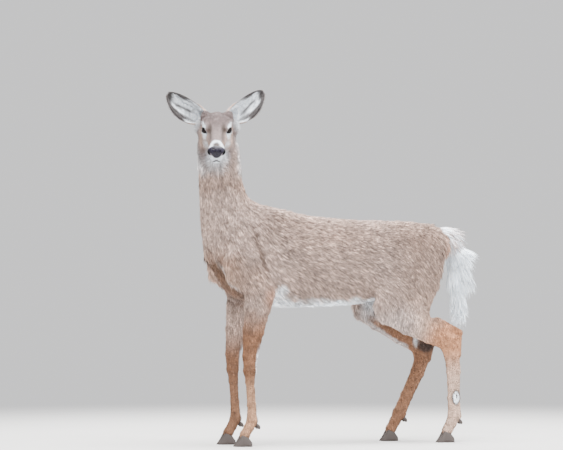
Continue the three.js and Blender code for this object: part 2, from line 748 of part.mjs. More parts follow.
deer.add(nodeOf("trunk", trunkFlesh, COAT));
deer.add(nodeOf("neck", neckFlesh, COAT));
deer.add(nodeOf("head", head, COAT));
deer.add(nodeOf("nose", noseSolid.transform(headMatrix.elements), NOSE_SKIN));
deer.add(nodeOf("eye_left", eyes[0], EYE_GLASS));
deer.add(nodeOf("eye_right", eyes[1], EYE_GLASS));
const earLeft = earSolid(LEFT, way(124, 101, -62), way(0.25, 0, 1));
const earRight = earSolid(RIGHT, way(-144, 98, -45), way(-0.2, 0.1, 1));
deer.add(nodeOf("ear_left", [bareHead, neckFlesh].reduce(clearOf, earLeft), EAR_SKIN));
deer.add(nodeOf("ear_right", [bareHead, neckFlesh].reduce(clearOf, earRight), EAR_SKIN));
const TAIL_END = [1008, 0, 462];
const tail = tubeOf(chain(TAIL, 20), [...TAIL.map(([at]) => at), TAIL_END], 10, 11, 90);
deer.add(nodeOf("tail", clearOf(tail, trunkFlesh), COAT_WHITE));
const FORELEG_ROOT = [120, 96, 660]; // where the run of rings starts, inside the body
const HINDLEG_ROOT = [590, 106, 560];
const legs = [
  ["foreleg_left", LEFT, FORELEG, FORELEG_ROOT, CUT.foreleg],
  ["foreleg_right", RIGHT, FORELEG, FORELEG_ROOT, CUT.foreleg],
  ["hindleg_left", LEFT, HIND_LEFT, HINDLEG_ROOT, CUT.hindleg],
  ["hindleg_right", RIGHT, HIND_RIGHT, HINDLEG_ROOT, CUT.hindleg],
];
for (const leg of legs) deer.add(...legNodes(...leg));

// The origin is on the floor under the middle of the whole animal.
const box = new THREE.Box3().setFromObject(deer);
deer.position.set(-(box.min.x + box.max.x) / 2, -(box.min.y + box.max.y) / 2, -box.min.z);

export default deer;
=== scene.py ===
"""A white-tailed deer doe in her winter coat, a life-size still model.

Skin, coat, tail, ears, eyes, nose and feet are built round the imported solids. Lengths in this file are
in millimetres in the animal's own frame, as the solids are made, until a mesh is placed in metres.
"""

import itertools
import math

import bmesh
import bpy
import numpy as np
from bpy.props import FloatProperty, FloatVectorProperty, IntProperty, PointerProperty
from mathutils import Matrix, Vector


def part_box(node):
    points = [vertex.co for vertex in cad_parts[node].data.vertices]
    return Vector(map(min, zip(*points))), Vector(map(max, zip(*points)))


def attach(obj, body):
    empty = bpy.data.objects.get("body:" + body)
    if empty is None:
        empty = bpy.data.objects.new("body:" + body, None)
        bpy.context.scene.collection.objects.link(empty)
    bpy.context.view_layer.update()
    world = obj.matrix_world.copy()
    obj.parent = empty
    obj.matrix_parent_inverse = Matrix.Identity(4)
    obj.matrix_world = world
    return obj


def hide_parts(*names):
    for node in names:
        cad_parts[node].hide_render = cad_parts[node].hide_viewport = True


bl_info = {
    "name": "White-tailed deer",
    "version": (1, 0, 0),
    "blender": (4, 5, 0),
    "location": "View3D > Sidebar > Deer",
    "description": "Builds the skin, coat and features of a life-size doe",
    "category": "Add Mesh",
}

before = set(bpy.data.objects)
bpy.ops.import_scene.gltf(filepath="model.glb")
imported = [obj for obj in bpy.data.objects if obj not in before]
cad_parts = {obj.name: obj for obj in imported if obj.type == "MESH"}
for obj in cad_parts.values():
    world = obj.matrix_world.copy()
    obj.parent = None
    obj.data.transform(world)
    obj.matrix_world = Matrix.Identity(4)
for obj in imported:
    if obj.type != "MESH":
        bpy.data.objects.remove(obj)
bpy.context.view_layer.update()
MM = 0.001

# ---- The animal's measurements, the same as in the solids ----------------------------------------

HEAD_TURN, HEAD_DROP = 22, 19.5
HEAD_ORIGIN = np.array([-8.0, 10.0, 1220.0])
EYE_CENTRE, EYE_RADIUS = np.array([118.0, 40.0, 24.0]), 16.5

# x, belly, back, half-width
TRUNK = (
    (-22, 668, 800, 58), (30, 588, 870, 88), (120, 540, 918, 106), (240, 524, 900, 122),
    (350, 523, 875, 139), (460, 524, 862, 147), (570, 533, 854, 145), (680, 562, 850, 134),
    (780, 612, 845, 120), (860, 668, 833, 98), (900, 706, 812, 72),
)
# z, front, rear, half-width
NECK = (
    (740, -50, 150, 72), (830, -76, 150, 84), (900, -81, 136, 78), (960, -83, 106, 71),
    (1020, -87, 89, 67), (1080, -91, 83, 64), (1140, -92, 74, 61), (1190, -82, 56, 52),
)
# Chains of oval bars: (x, distance from the middle, z), (half-width, half-depth)
SHOULDER = (((222, 58, 842), (30, 62)), ((32, 92, 688), (34, 58)))
UPPER_ARM = (((48, 92, 690), (34, 72)), ((142, 96, 590), (34, 62)))
FORELEG = (
    ((128, 95, 590), (38, 64)), ((116, 93, 528), (36, 54)), ((101, 90, 440), (29, 44)),
    ((88, 88, 345), (23, 32)), ((87, 87, 288), (23.5, 26)), ((89, 86, 245), (17.5, 19.5)),
    ((95, 86, 160), (16.5, 18.5)), ((98, 86, 100), (21.5, 23)), ((84, 86, 72), (19.5, 19.5)),
    ((68, 86, 46), (22, 22)),
)
HIND_LEFT = (
    ((655, 103, 520), (44, 62)), ((735, 99, 470), (37, 56)), ((830, 95, 428), (29, 50)),
    ((902, 92, 392), (25, 42)), ((920, 91, 335), (22, 33)), ((927, 90, 270), (18.5, 29.5)),
    ((928, 90, 170), (17.5, 26)), ((931, 90, 103), (22.5, 28)), ((917, 90, 74), (20, 22)),
    ((901, 90, 46), (22.5, 23)),
)
HIND_RIGHT = (
    ((645, 103, 525), (44, 62)), ((700, 99, 480), (38, 58)), ((790, 95, 418), (30, 50)),
    ((862, 92, 372), (25, 42)), ((873, 91, 318), (22, 33)), ((853, 90, 262), (18.5, 29.5)),
    ((808, 90, 174), (17.5, 26)), ((777, 90, 106), (22.5, 28)), ((759, 90, 76), (20, 22)),
    ((742, 90, 46), (22.5, 23)),
)
HOCK_LEFT = (((850, 94, 468), (14, 20)), ((950, 91, 422), (13, 16)), ((940, 91, 340), (15, 18)))
HOCK_RIGHT = (((822, 94, 462), (14, 20)), ((918, 91, 392), (13, 16)), ((894, 91, 318), (15, 18)))
THIGH = (((772, 74, 715), (54, 100)), ((690, 92, 590), (50, 92)), ((652, 103, 522), (44, 66)))
BUTTOCK = (((838, 62, 745), (48, 66)), ((806, 88, 620), (44, 62)), ((770, 96, 520), (36, 60)))
# The dock of the tail, under its hair
DOCK = (
    ((860, 0, 802), (22, 24)), ((925, 0, 786), (17, 18)), ((958, 0, 730), (15, 16)),
    ((970, 0, 660), (13, 14)), ((972, 0, 600), (11, 12)), ((980, 0, 560), (7, 8)),
)
# Head: distance from the back of the skull, underside, top, half-width
SKULL = (
    (-6, -46, 44, 36), (30, -52, 66, 53), (70, -48, 71, 60), (105, -42, 65, 60), (140, -38, 52, 46),
    (180, -36, 38, 37), (220, -34, 28, 32), (255, -32, 21, 31), (280, -26, 14, 29),
)
JAW = (
    (42, -74, -10, 34), (80, -84, -10, 36), (130, -76, -14, 30), (180, -64, -18, 25),
    (225, -58, -20, 22), (258, -54, -26, 19),
)
EAR_LENGTH, EAR_HALF_WIDTH, EAR_SWAY = 178, 46, 12
EAR_FOOT = (22, 45, 31)
EAR_TIP_WAY = {"left": (124, 101, -62), "right": (-144, 98, -45)}
EAR_OPEN_WAY = {"left": (0.25, 0, 1), "right": (-0.2, 0.1, 1)}
HOOF_LENGTH, HOOF_HEIGHT, CLAW_HALF_WIDTH, CLAW_SPREAD = 66, 42, 12, 12.6
HAIRLINE, HAIRLINE_SLOPE = 37, 0.4
# Claw sections from heel to toe: share of the length, of the height, of the width
CLAW = (
    (0, 0.42, 0.62), (0.12, 0.66, 0.9), (0.3, 1.04, 1), (0.5, 1.3, 1), (0.62, 0.98, 0.94),
    (0.82, 0.45, 0.68), (1, 0.1, 0.16),
)
SIDES = {"left": -1, "right": 1}
LEGS = {
    "foreleg_left": (-1, FORELEG), "foreleg_right": (1, FORELEG),
    "hindleg_left": (-1, HIND_LEFT), "hindleg_right": (1, HIND_RIGHT),
}


# ---- Vectors and the head's frame ------------------------------------------------------------------


def length_of(vectors):
    return np.sqrt((vectors * vectors).sum(-1))


def unit(vectors):
    vectors = np.asarray(vectors, float)
    return vectors / np.maximum(length_of(vectors), 1e-9)[..., None]


def rise(value, low, high):
    """0 below low, 1 above high and smooth between."""
    t = np.clip((value - low) / (high - low), 0, 1)
    return t * t * (3 - 2 * t)


def mix(a, b, t):
    return a + (b - a) * t


_turn, _drop = math.radians(HEAD_TURN), math.radians(HEAD_DROP)
FORWARD = np.array([
    -math.sin(_turn) * math.cos(_drop), -math.cos(_turn) * math.cos(_drop), -math.sin(_drop),
])
HEAD_LEFT = unit(np.cross((0, 0, 1), FORWARD))
HEAD_UP = np.cross(FORWARD, HEAD_LEFT)
HEAD_AXES = np.array([FORWARD, HEAD_LEFT, HEAD_UP])
FACE_WAY = np.array([-math.sin(_turn), -math.cos(_turn), 0])
VIEWER_RIGHT = np.array([math.cos(_turn), -math.sin(_turn), 0])


def mirrored(q):
    """Both sides of the head folded onto its left one."""
    return np.stack([q[:, 0], np.abs(q[:, 1]), q[:, 2]], -1)


def to_head(points):
    return (points - HEAD_ORIGIN) @ HEAD_AXES.T


def from_head(points):
    return np.asarray(points, float) @ HEAD_AXES + HEAD_ORIGIN


def seen_way(right, up, towards):
    """A way as seen face to face with her: to the viewer's right, up, and towards the viewer."""
    return VIEWER_RIGHT * right + FACE_WAY * towards + np.array([0, 0, up])


def placing():
    """What takes the animal's own millimetres to the frame's metres: the middle of the left eye says it."""
    low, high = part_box("eye_left")
    return np.array((low + high) / 2) - from_head(EYE_CENTRE) * MM


PLACE = placing()


def placed(points):
    return np.asarray(points, float) * MM + PLACE


def unplaced(points):
    return (points - PLACE) / MM


# ---- Fields: negative inside, in millimetres ---------------------------------------------------------


def oval(offset, radii):
    radii = np.asarray(radii, float)
    near = length_of(offset / radii)
    slope = length_of(offset / radii**2)
    return near * (near - 1) / np.maximum(slope, 1e-9)


def join(a, b, reach):
    h = np.maximum(reach - np.abs(a - b), 0) / reach
    return np.minimum(a, b) - h * h * reach / 4


def cut(a, b, reach):
    return -join(-a, b, reach)


def blob(centre, radii):
    centre = np.asarray(centre, float)
    return lambda p: oval(p - centre, radii)


def bar(a, b, end_a, end_b):
    """A tapered oval bar; each end has a half-width across the animal and a half-depth."""
    a, b = np.asarray(a, float), np.asarray(b, float)
    reach = np.linalg.norm(b - a)
    along = (b - a) / reach
    across = unit(np.array([0, 1, 0]) - along * along[1])
    axes = np.array([across, np.cross(along, across), along])

    def field(p):
        q = (p - a) @ axes.T
        t = np.clip(q[:, 2] / reach, 0, 1)
        q[:, 2] -= t * reach
        wide, thick = mix(end_a[0], end_b[0], t), mix(end_a[1], end_b[1], t)
        return oval(q, np.stack([wide, thick, np.minimum(wide, thick)], -1))

    return field


def chain(rows, reach, side=1):
    at = [((x, side * y, z), half) for (x, y, z), half in rows]
    bars = [bar(a, b, half_a, half_b) for (a, half_a), (b, half_b) in zip(at, at[1:])]

    def field(p):
        d = np.full(len(p), 1e3)
        for one in bars:
            d = join(d, one(p), reach)
        return d

    return field


def curve_through(ts, values):
    """A smooth curve through points: cubic pieces with averaged slopes, held at both ends."""
    ts, values = np.asarray(ts, float), np.asarray(values, float)
    last = len(ts) - 1
    before, after = np.maximum(np.arange(last + 1) - 1, 0), np.minimum(np.arange(last + 1) + 1, last)
    slope = (values[after] - values[before]) / (ts[after] - ts[before])

    def curve(t):
        held = np.clip(t, ts[0], ts[-1])
        i = np.clip(np.searchsorted(ts, held) - 1, 0, last - 1)
        gap = ts[i + 1] - ts[i]
        s = (held - ts[i]) / gap
        return (
            values[i] * (2 * s**3 - 3 * s**2 + 1) + slope[i] * gap * (s**3 - 2 * s**2 + s)
            + values[i + 1] * (3 * s**2 - 2 * s**3) + slope[i + 1] * gap * (s**3 - s**2)
        )

    return curve


def loft(rows, end_radius):
    """A body of oval sections; its points are (along, side, deep)."""
    ts, low, high, half = zip(*rows)
    low, high, half = (curve_through(ts, values) for values in (low, high, half))

    def field(p):
        t = np.clip(p[:, 0], ts[0], ts[-1])
        middle, depth = (low(t) + high(t)) / 2, (high(t) - low(t)) / 2
        offset = np.stack([p[:, 1], p[:, 2] - middle, p[:, 0] - t], -1)
        return oval(offset, np.stack([half(t), depth, np.full_like(t, end_radius)], -1))

    return field


trunk_field = loft(TRUNK, 22)
neck_field = loft(NECK, 30)
skull_field, jaw_field = loft(SKULL, 12), loft(JAW, 12)
cheek = blob((92, 33, -32), (50, 27, 38))
brow = bar((92, 44, 46), (146, 37, 36), (14, 15), (10, 11))
ear_base = blob((20, 43, 40), (25, 21, 25))
ear_root = blob((14, 60, -3), (24, 27, 31))
socket = blob((136, 64, 23), (18, 16, 15))
nostril_wing = blob((276, 17, -4), (18, 13, 16))
lip = bar((200, 20, -30), (268, 15, -30), (12, 9), (11, 9))
chin = blob((252, 0, -46), (20, 17, 13))
nose_tip = blob((281, 0, 1), (17, 32, 19))
nose_lobe = blob((283, 17, -4), (15, 16, 14.5))
nose_philtrum = blob((286, 0, -15), (10, 16.5, 13))
dock = chain(DOCK, 12)
BELLY_LINE = curve_through([r[0] for r in TRUNK], [r[1] for r in TRUNK])
BACK_LINE = curve_through([r[0] for r in TRUNK], [r[2] for r in TRUNK])


def face_field(q):
    """The head as she wears it, hair and all, in its own frame."""
    one_side = mirrored(q)
    d = join(skull_field(q), jaw_field(q), 26)
    for part, reach in ((cheek, 24), (ear_base, 22), (ear_root, 20), (brow, 16), (nostril_wing, 12), (lip, 12)):
        d = join(d, part(one_side), reach)
    d = join(d, chin(q), 12)
    return cut(d, socket(one_side), 12)


def foreleg_field(side):
    shoulder, arm, lower = chain(SHOULDER, 8, side), chain(UPPER_ARM, 8, side), chain(FORELEG, 8, side)
    return lambda p: join(join(shoulder(p), arm(p), 30), lower(p), 24)


def hindleg_field(side):
    left = side < 0
    thigh, buttock = chain(THIGH, 12, side), chain(BUTTOCK, 12, side)
    shank = chain(HIND_LEFT if left else HIND_RIGHT, 8, side)
    hock = chain(HOCK_LEFT if left else HOCK_RIGHT, 6, side)
    return lambda p: join(join(thigh(p), buttock(p), 40), join(shank(p), hock(p), 14), 30)


LEG_FIELDS = [(foreleg_field(side), 36) for side in (-1, 1)] + [(hindleg_field(side), 40) for side in (-1, 1)]
LEG_TOP = 980  # above this no leg matters
ANY = math.inf  # the size of a spot across a direction that it ignores


def flesh(p):
    """The whole animal out to the tips of the coat, without ears and tail."""
    d = join(trunk_field(p), neck_field(p[:, ::-1]), 60)
    d = join(d, face_field(to_head(p)), 30)
    low = p[:, 2] < LEG_TOP
    some, held = p[low], d[low]
    for leg, reach in LEG_FIELDS:
        held = join(held, leg(some), reach)
    d[low] = held
    return d


# ---- Eyes, mouth and other forms that only the skin has ------------------------------------------------

EYE_OUTWARD = math.radians(46)  # from straight ahead
EYE_TILT = math.radians(-8)  # the front corner is the lower one
LID = 2.2  # how far the lids stand over the eyeball
APERTURE = (13.2, 8.4, 6.8)  # half-length, height above and below the middle


def eye_axes():
    """Towards the front corner, up, and out of the eye, on her left side."""
    out = np.array([math.cos(EYE_OUTWARD), math.sin(EYE_OUTWARD), 0.04])
    out = unit(out)
    front = unit(np.cross((0, 0, 1), out)) * -1
    up = np.cross(out, front) * -1
    if up[2] < 0:
        up = -up
    c, s = math.cos(EYE_TILT), math.sin(EYE_TILT)
    return np.array([front * c + up * s, up * c - front * s, out])


EYE_AXES = eye_axes()


def aperture_edge(a, b):
    """How far a point before the eye lies outside the opening between the lids."""
    half, above, below = APERTURE
    tall = np.where(b > 0, above, below)
    steep = np.sqrt(1 + (2 * tall * a / half**2) ** 2)
    return (np.abs(b) - tall * (1 - (a / half) ** 2)) / steep


NOSTRIL = (((296, 26, -13), (4.0, 4.5)), ((293, 29, -7), (5.0, 5.5)), ((286, 34, 4), (2.2, 2.6)))
nostril_hollow = chain(NOSTRIL, 5)
MOUTH = (
    ((272, 0, -41.5), 1.9), ((270, 8, -46), 1.9), ((262, 15, -52), 1.8), ((240, 22, -52), 1.6),
    ((205, 28, -43), 1.2),
)
mouth_line = chain([(at, (r, r)) for at, r in MOUTH], 2)
eye_hollow = blob((143, 58, 20), (21, 21, 14))
tear_duct = bar((134, 40, 17), (152, 36, 9), (2.4, 2.6), (1.6, 1.6))
lip_cleft = bar((292, 0, -20), (272, 0, -42), (1.4, 1.6), (1.2, 1.4))


def face_detail(q, d):
    """Lids, tear ducts, mouth and cleft lip, worked into the bare face."""
    one_side = mirrored(q)
    offset = one_side - EYE_CENTRE
    a, b, c = (offset @ EYE_AXES.T).T
    ball = length_of(offset)
    edge = aperture_edge(a, b)
    before = rise(c, 0, 5)
    fold = np.exp(-(((edge - 5.2) / 1.5) ** 2)) * np.where(b > 0, 1.1, 0.6) * before
    fold += np.exp(-(((edge - 9.5) / 1.8) ** 2)) * np.where(b > 0, 0.7, 0.4) * before
    d = cut(d, eye_hollow(one_side), 10)
    d = join(d, ball - (EYE_RADIUS + LID), 6)
    d = d + fold * (np.abs(ball - EYE_RADIUS) < 14)
    opening = np.maximum(np.maximum(edge, EYE_RADIUS - 1.2 - ball), 3 - c)
    d = cut(d, opening, 1.2)
    d = cut(d, tear_duct(one_side), 2.5)
    d = cut(d, mouth_line(one_side), 2.6)
    d = cut(d, nostril_hollow(one_side) - 3.5, 3)
    return cut(d, lip_cleft(q), 2)


HEAD_CUT_POINT = from_head((34, 0, -30))
HEAD_CUT_WAY = unit(FORWARD + 0.95 * HEAD_UP)
NECK_CUT_POINT, NECK_CUT_WAY = np.array([35.0, 0, 845]), unit((-0.63, 0, 0.78))


def beyond_neck(p):
    """How far a point lies on the head's side of the line between neck and head."""
    return (p - HEAD_CUT_POINT) @ HEAD_CUT_WAY


shoulder_crease = chain((
    ((97, 0, 830), (1, 1)), ((105, 0, 765), (3, 3)), ((126, 0, 700), (3.5, 3.5)), ((140, 0, 668), (1, 1)),
), 6)


def coat_depth(p):
    """How far the skin lies under the tips of the coat."""
    depth = mix(2.6, 6.5, rise(p[:, 2], 330, 600))
    belly = 3 * (1 - rise(p[:, 2], 530, 620)) * rise(p[:, 2], 480, 520) * rise(p[:, 0], 230, 300)
    fold = rise(p[:, 1], -48, -34) * rise(-p[:, 1], -46, -30) * rise(-p[:, 2], -765, -690) * rise(-p[:, 0], -60, 0)
    fold = 7 * fold * rise(p[:, 2], 520, 600) + 5 * (1 - rise(shoulder_crease(p * (1, 0, 1)), -1, 12))
    depth = depth + fold
    face = rise(beyond_neck(p), -45, 70)
    return mix(depth + belly, mix(3.6, 2.0, rise(to_head(p)[:, 0], 90, 200)), face)


def skin_field(p, detailed=False):
    d = flesh(p) + coat_depth(p)
    if detailed:
        d = face_detail(to_head(p), d)
    tail_side = p[:, 0] > 700
    d[tail_side] = join(d[tail_side], dock(p[tail_side]), 18)
    return d


# ---- From field to mesh ----------------------------------------------------------------------------------

CORNERS = np.array(list(itertools.product((0, 1), repeat=3)))
EDGES = [(p, q) for p, q in itertools.combinations(range(8), 2) if abs(CORNERS[p] - CORNERS[q]).sum() == 1]


def fill_pinched(value):
    """Where the surface would pass twice through a cell, its nearest outside corner is taken in."""
    def joined(mask):
        reached = {next(iter(mask))}
        for _ in range(4):
            reached |= {q for q in mask if any((p, q) in EDGES or (q, p) in EDGES for p in reached)}
        return reached == mask

    pinched = np.zeros(256, bool)
    for code in range(1, 255):
        inside = {p for p in range(8) if code >> p & 1}
        pinched[code] = not (joined(inside) and joined(set(range(8)) - inside))
    shape = np.array(value.shape) - 1
    for _ in range(12):
        code = np.zeros(shape, int)
        for n, (a, b, c) in enumerate(CORNERS):
            code += (value[a:shape[0] + a, b:shape[1] + b, c:shape[2] + c] < 0).astype(int) << n
        found = np.argwhere(pinched[code])
        if not len(found):
            return
        for cell in found:
            ids = [tuple(cell + corner) for corner in CORNERS]
            outside = [i for i in ids if value[i] >= 0]
            value[min(outside, key=lambda i: value[i])] = -0.01


def surface_of(field, low, high, cell):
    """Surface nets: one vertex in each cell that the surface crosses, and four of them round each crossed edge."""
    low = np.asarray(low, float)
    count = np.ceil((np.asarray(high) - low) / cell).astype(int) + 1
    grid = np.stack(np.meshgrid(*[low[k] + cell * np.arange(count[k]) for k in range(3)], indexing="ij"), -1)
    flat = grid.reshape(-1, 3)
    chunks = [field(some) for some in np.array_split(flat, max(1, len(flat) // 200000))]
    value = np.concatenate(chunks).reshape(count)
    fill_pinched(value)
    shape = count - 1
    held = np.stack([value[a:shape[0] + a, b:shape[1] + b, c:shape[2] + c] for a, b, c in CORNERS], -1)
    inside = held < 0
    crossed = inside.any(-1) & ~inside.all(-1)
    cells, v = np.argwhere(crossed), held[crossed]
    total, hits = np.zeros((len(v), 3)), np.zeros(len(v))
    for p, q in EDGES:
        hit = (v[:, p] < 0) != (v[:, q] < 0)
        t = v[hit, p] / (v[hit, p] - v[hit, q])
        total[hit] += mix(CORNERS[p], CORNERS[q], t[:, None])
        hits[hit] += 1
    points = low + cell * (cells + total / hits[:, None])
    number = np.full(shape, -1)
    number[crossed] = np.arange(len(points))
    faces = []
    for axis in range(3):
        one, two = np.eye(3, dtype=int)[(axis + 1) % 3], np.eye(3, dtype=int)[(axis + 2) % 3]
        ahead = np.roll(value, -1, axis) < 0
        changed = (value < 0) != ahead
        limit = [slice(1, n - 1) for n in count]
        limit[axis] = slice(0, count[axis] - 1)
        here = np.argwhere(changed[tuple(limit)]) + [s.start for s in limit]
        ring = np.stack([number[tuple((here - step).T)] for step in (one + two, two, 0 * one, one)], -1)
        outward = value[tuple(here.T)] < 0
        ring[~outward] = ring[~outward][:, ::-1]
        faces.append(ring)
    return points, np.concatenate(faces)


def slope_of(field, points, probe=0.4):
    steps = probe * np.eye(3)
    return np.stack([(field(points + e) - field(points - e)) / (2 * probe) for e in steps], -1)


def settle(points, field, rounds, most):
    """Pulls points onto the surface, no further than a given step in each round."""
    for _ in range(rounds):
        slope = slope_of(field, points)
        move = field(points) / np.maximum((slope**2).sum(-1), 0.05)
        points = points - np.clip(move, -most, most)[:, None] * slope
    return points


def neighbour_mean(values, edges, count):
    total = np.zeros((count, values.shape[1]))
    hits = np.bincount(edges.ravel(), minlength=count)
    for k in range(values.shape[1]):
        total[:, k] = (
            np.bincount(edges[:, 0], values[edges[:, 1], k], count)
            + np.bincount(edges[:, 1], values[edges[:, 0], k], count)
        )
    return total / np.maximum(hits, 1)[:, None]


def edges_of(mesh):
    edges = np.empty(len(mesh.edges) * 2, np.int64)
    mesh.edges.foreach_get("vertices", edges)
    return edges.reshape(-1, 2)


def points_of(mesh):
    co = np.empty(len(mesh.vertices) * 3)
    mesh.vertices.foreach_get("co", co)
    return co.reshape(-1, 3)


def set_points(mesh, points):
    mesh.vertices.foreach_set("co", np.asarray(points, np.float32).ravel())
    mesh.update()


def mesh_from(name, points, faces):
    mesh = bpy.data.meshes.new(name)
    mesh.from_pydata([tuple(p) for p in points], [], [tuple(int(i) for i in f) for f in faces])
    mesh.update()
    return mesh


def object_from(name, mesh, material, smooth=True):
    mesh.polygons.foreach_set("use_smooth", [smooth] * len(mesh.polygons))
    made = bpy.data.objects.new(name, mesh)
    bpy.context.scene.collection.objects.link(made)
    if material:
        mesh.materials.append(material)
    return made


def refine(mesh, chosen):
    """Splits the edges of the faces that a test picks by their middles."""
    work = bmesh.new()
    work.from_mesh(mesh)
    middles = np.array([f.calc_center_median() for f in work.faces])
    picked = chosen(middles)
    edges = {e for f, hit in zip(work.faces, picked) if hit for e in f.edges}
    bmesh.ops.subdivide_edges(work, edges=list(edges), cuts=1, use_grid_fill=True)
    work.to_mesh(mesh)
    work.free()


def store(mesh, name, kind, values, domain="POINT"):
    layer = mesh.attributes.get(name) or mesh.attributes.new(name, kind, domain)
    key = {"FLOAT_VECTOR": "vector", "FLOAT_COLOR": "color"}.get(kind, "value")
    layer.data.foreach_set(key, np.asarray(values, np.int32 if kind == "INT" else np.float32).ravel())


def read(mesh, name):
    layer = mesh.attributes[name]
    width, key = {"FLOAT_VECTOR": (3, "vector"), "FLOAT_COLOR": (4, "color")}.get(layer.data_type, (1, "value"))
    values = np.empty(len(layer.data) * width, np.float32)
    layer.data.foreach_get(key, values)
    return values.reshape(-1, width).astype(float) if width > 1 else values.astype(float)


# ---- Markings ------------------------------------------------------------------------------------------------


def tones():
    look = bpy.context.scene.deer_colours
    return {name: np.array(getattr(look, name)) for name in ("grey", "brown", "tan", "white", "dark", "rufous")}


def paint(colour, tone, mask):
    return mix(colour, tone, np.clip(mask, 0, 1)[:, None])


def spot(q, centre, radii, soft=0.25):
    """1 inside an oval spot, 0 outside, with a soft edge given as a share of its size."""
    near = length_of((q - np.asarray(centre, float)) / np.asarray(radii, float))
    return 1 - rise(near, 1 - soft, 1 + soft)


def lattice_noise(p, seed):
    """Smooth noise from 0 to 1 between random values on a lattice of unit cells."""
    cell = np.floor(p).astype(np.int64)
    part = p - cell
    part = part * part * (3 - 2 * part)
    total = np.zeros(len(p))
    for corner in CORNERS:
        key = ((cell + corner) * (73856093, 19349663, 83492791)).sum(-1) + seed * 7919
        key = (key ^ (key >> 13)) * 1274126177
        value = ((key ^ (key >> 16)) & 0xFFFF) / 0xFFFF
        total += value * np.prod(np.where(corner, part, 1 - part), -1)
    return total


def body_marking(p, tone):
    x, y, z = p.T
    side = np.abs(y)
    tall = (z - BELLY_LINE(x)) / (BACK_LINE(x) - BELLY_LINE(x))
    colour = np.tile(tone["grey"], (len(p), 1))
    colour = paint(colour, tone["brown"], 0.22 * rise(tall, 0.4, 0.8) * rise(x, 60, 260) * rise(-tall, -1.02, -0.93))
    colour = paint(colour, tone["brown"], 0.4 * rise(x, 560, 780))
    colour = paint(colour, tone["brown"], 0.2 * rise(x, 150, 300) * rise(-x, -620, -520))
    colour = paint(colour, tone["brown"], 0.5 * rise(z, 880, 980) * rise(x, 20, 90))
    # brisket, and painted shade in the fold between the forelegs
    colour = paint(colour, tone["tan"], 0.4 * rise(-x, -70, 20) * rise(-z, -800, -700))
    ahead = rise(-x, -110, -40)
    fold = rise(y, -48, -34) * rise(-y, -46, -30) * rise(-z, -765, -690) * ahead
    colour = paint(colour, mix(tone["brown"], tone["rufous"], 0.2) * 0.5, 0.95 * fold)
    # painted shade: a dark line in the crease between the brisket and the far shoulder
    line = (1 - rise(np.abs(y - 34 + (640 - z) * 0.1), 4, 11)) * rise(-z, -750, -715) * ahead
    colour = paint(colour, tone["dark"], 0.9 * line)
    # painted highlight: a pale line along the front edge of the near shoulder
    line = (1 - rise(np.abs(y + 50), 2, 7)) * rise(-z, -740, -700) * ahead
    colour = paint(colour, tone["white"], 0.4 * line)
    # painted shade: a darker patch over the upper arm below the point of the shoulder, for its form
    colour = paint(colour, tone["brown"], 0.5 * spot(p, (85, 0, 640), (66, ANY, 66), 0.5))
    # painted shade in the crease at the back of the shoulder
    crease_shade = 1 - rise(shoulder_crease(p * (1, 0, 1)), -1, 5)
    colour = paint(colour, tone["brown"] * 0.45, 0.65 * crease_shade)
    colour = paint(colour, tone["dark"], 0.5 * spot(p, (44, -95, 775), (9, 40, 3.5), 0.4))
    # white belly, and the patch behind the elbow
    under = rise(-(z - BELLY_LINE(x)), -44, -18) * rise(x, 160, 205) * rise(-x, -760, -600)
    under *= 1 - rise(x, 540, 600) * rise(side, 56, 84)
    colour = paint(colour, tone["white"], under)
    colour = paint(colour, tone["rufous"], 0.4 * spot(p, (168, 0, 568), (40, ANY, 44), 0.5) * (side > 70))
    colour = paint(colour, tone["white"], 0.75 * spot(p, (200, 0, 585), (24, ANY, 34), 0.4))
    # forelegs: brown forearm, bright knee, paler cannon with a white rear edge
    fore = rise(-x, -400, -300)
    near = (y < 0)
    colour = paint(colour, tone["brown"], mix(0.25, 0.75, near) * fore * rise(-z, -560, -430))
    knee = np.where(near, rise(-z, -580, -400), rise(-z, -480, -320))
    colour = paint(colour, mix(tone["rufous"], tone["brown"], 0.15) * 0.4, 0.9 * fore * knee)
    colour = paint(colour, tone["tan"], mix(0.1, 0.75, near) * fore * rise(-z, -290, -200))
    rear = rise(x - np.interp(z, (100, 245, 345, 440), (98, 89, 92, 108)), 13, 19)
    colour = paint(colour, tone["white"], 0.8 * fore * rear * rise(-z, -400, -330))
    # hind legs: pale gaskin, bright hock, pale cannon; rich brown inside, darkened further as painted shade between the
    # legs
    hind = rise(x, 520, 620)
    colour = paint(colour, mix(tone["grey"], tone["white"], 0.2), 0.6 * hind * rise(-z, -580, -460))
    colour = paint(colour, tone["tan"], 0.75 * hind * rise(x, 680, 860) * rise(-z, -600, -440))
    hock = np.maximum(spot(p, (925, 0, 400), (84, ANY, 100), 0.7), spot(p, (875, 0, 380), (70, ANY, 84), 0.7))
    colour = paint(colour, tone["rufous"], 0.65 * hind * hock * rise(-z, -560, -430))
    colour = paint(colour, mix(tone["tan"], tone["white"], 0.15), 0.75 * hind * rise(-z, -370, -230))
    # the inner sides: partly their own brown coat, partly painted shade where the legs shade each other
    inside = hind * rise(-side, -97, -84) * rise(-z, -540, -440)
    colour = paint(colour, mix(tone["rufous"], tone["brown"], 0.5) * 0.62, inside)
    shin = np.interp(z, (106, 174, 262, 318, 372, 418, 480), (770, 795, 838, 858, 840, 752, 668))
    colour = paint(colour, tone["white"], 0.35 * inside * rise(shin - x - 15 * rise(z, 290, 370) - 8 * rise(-z, -200, -130), 18, 23) * (y > 0) * rise(z, 120, 170))
    # groin, the inside of the thighs, and round the tail
    groin = rise(-side, -72, -40) * rise(x, 600, 700) * rise(-z, -700, -600) * rise(z, 470, 520)
    colour = paint(colour, tone["white"], groin * mix(1, 0.5, (y > 0) * rise(-z, -600, -540)))
    edge = rise(x + (830 - z) * 0.12, 880, 915) * rise(z, 560, 640)
    colour = paint(colour, tone["rufous"], 0.35 * edge)
    return paint(colour, tone["white"], rise(-side, -46, -26) * rise(x, 850, 880) * rise(-z, -805, -780))


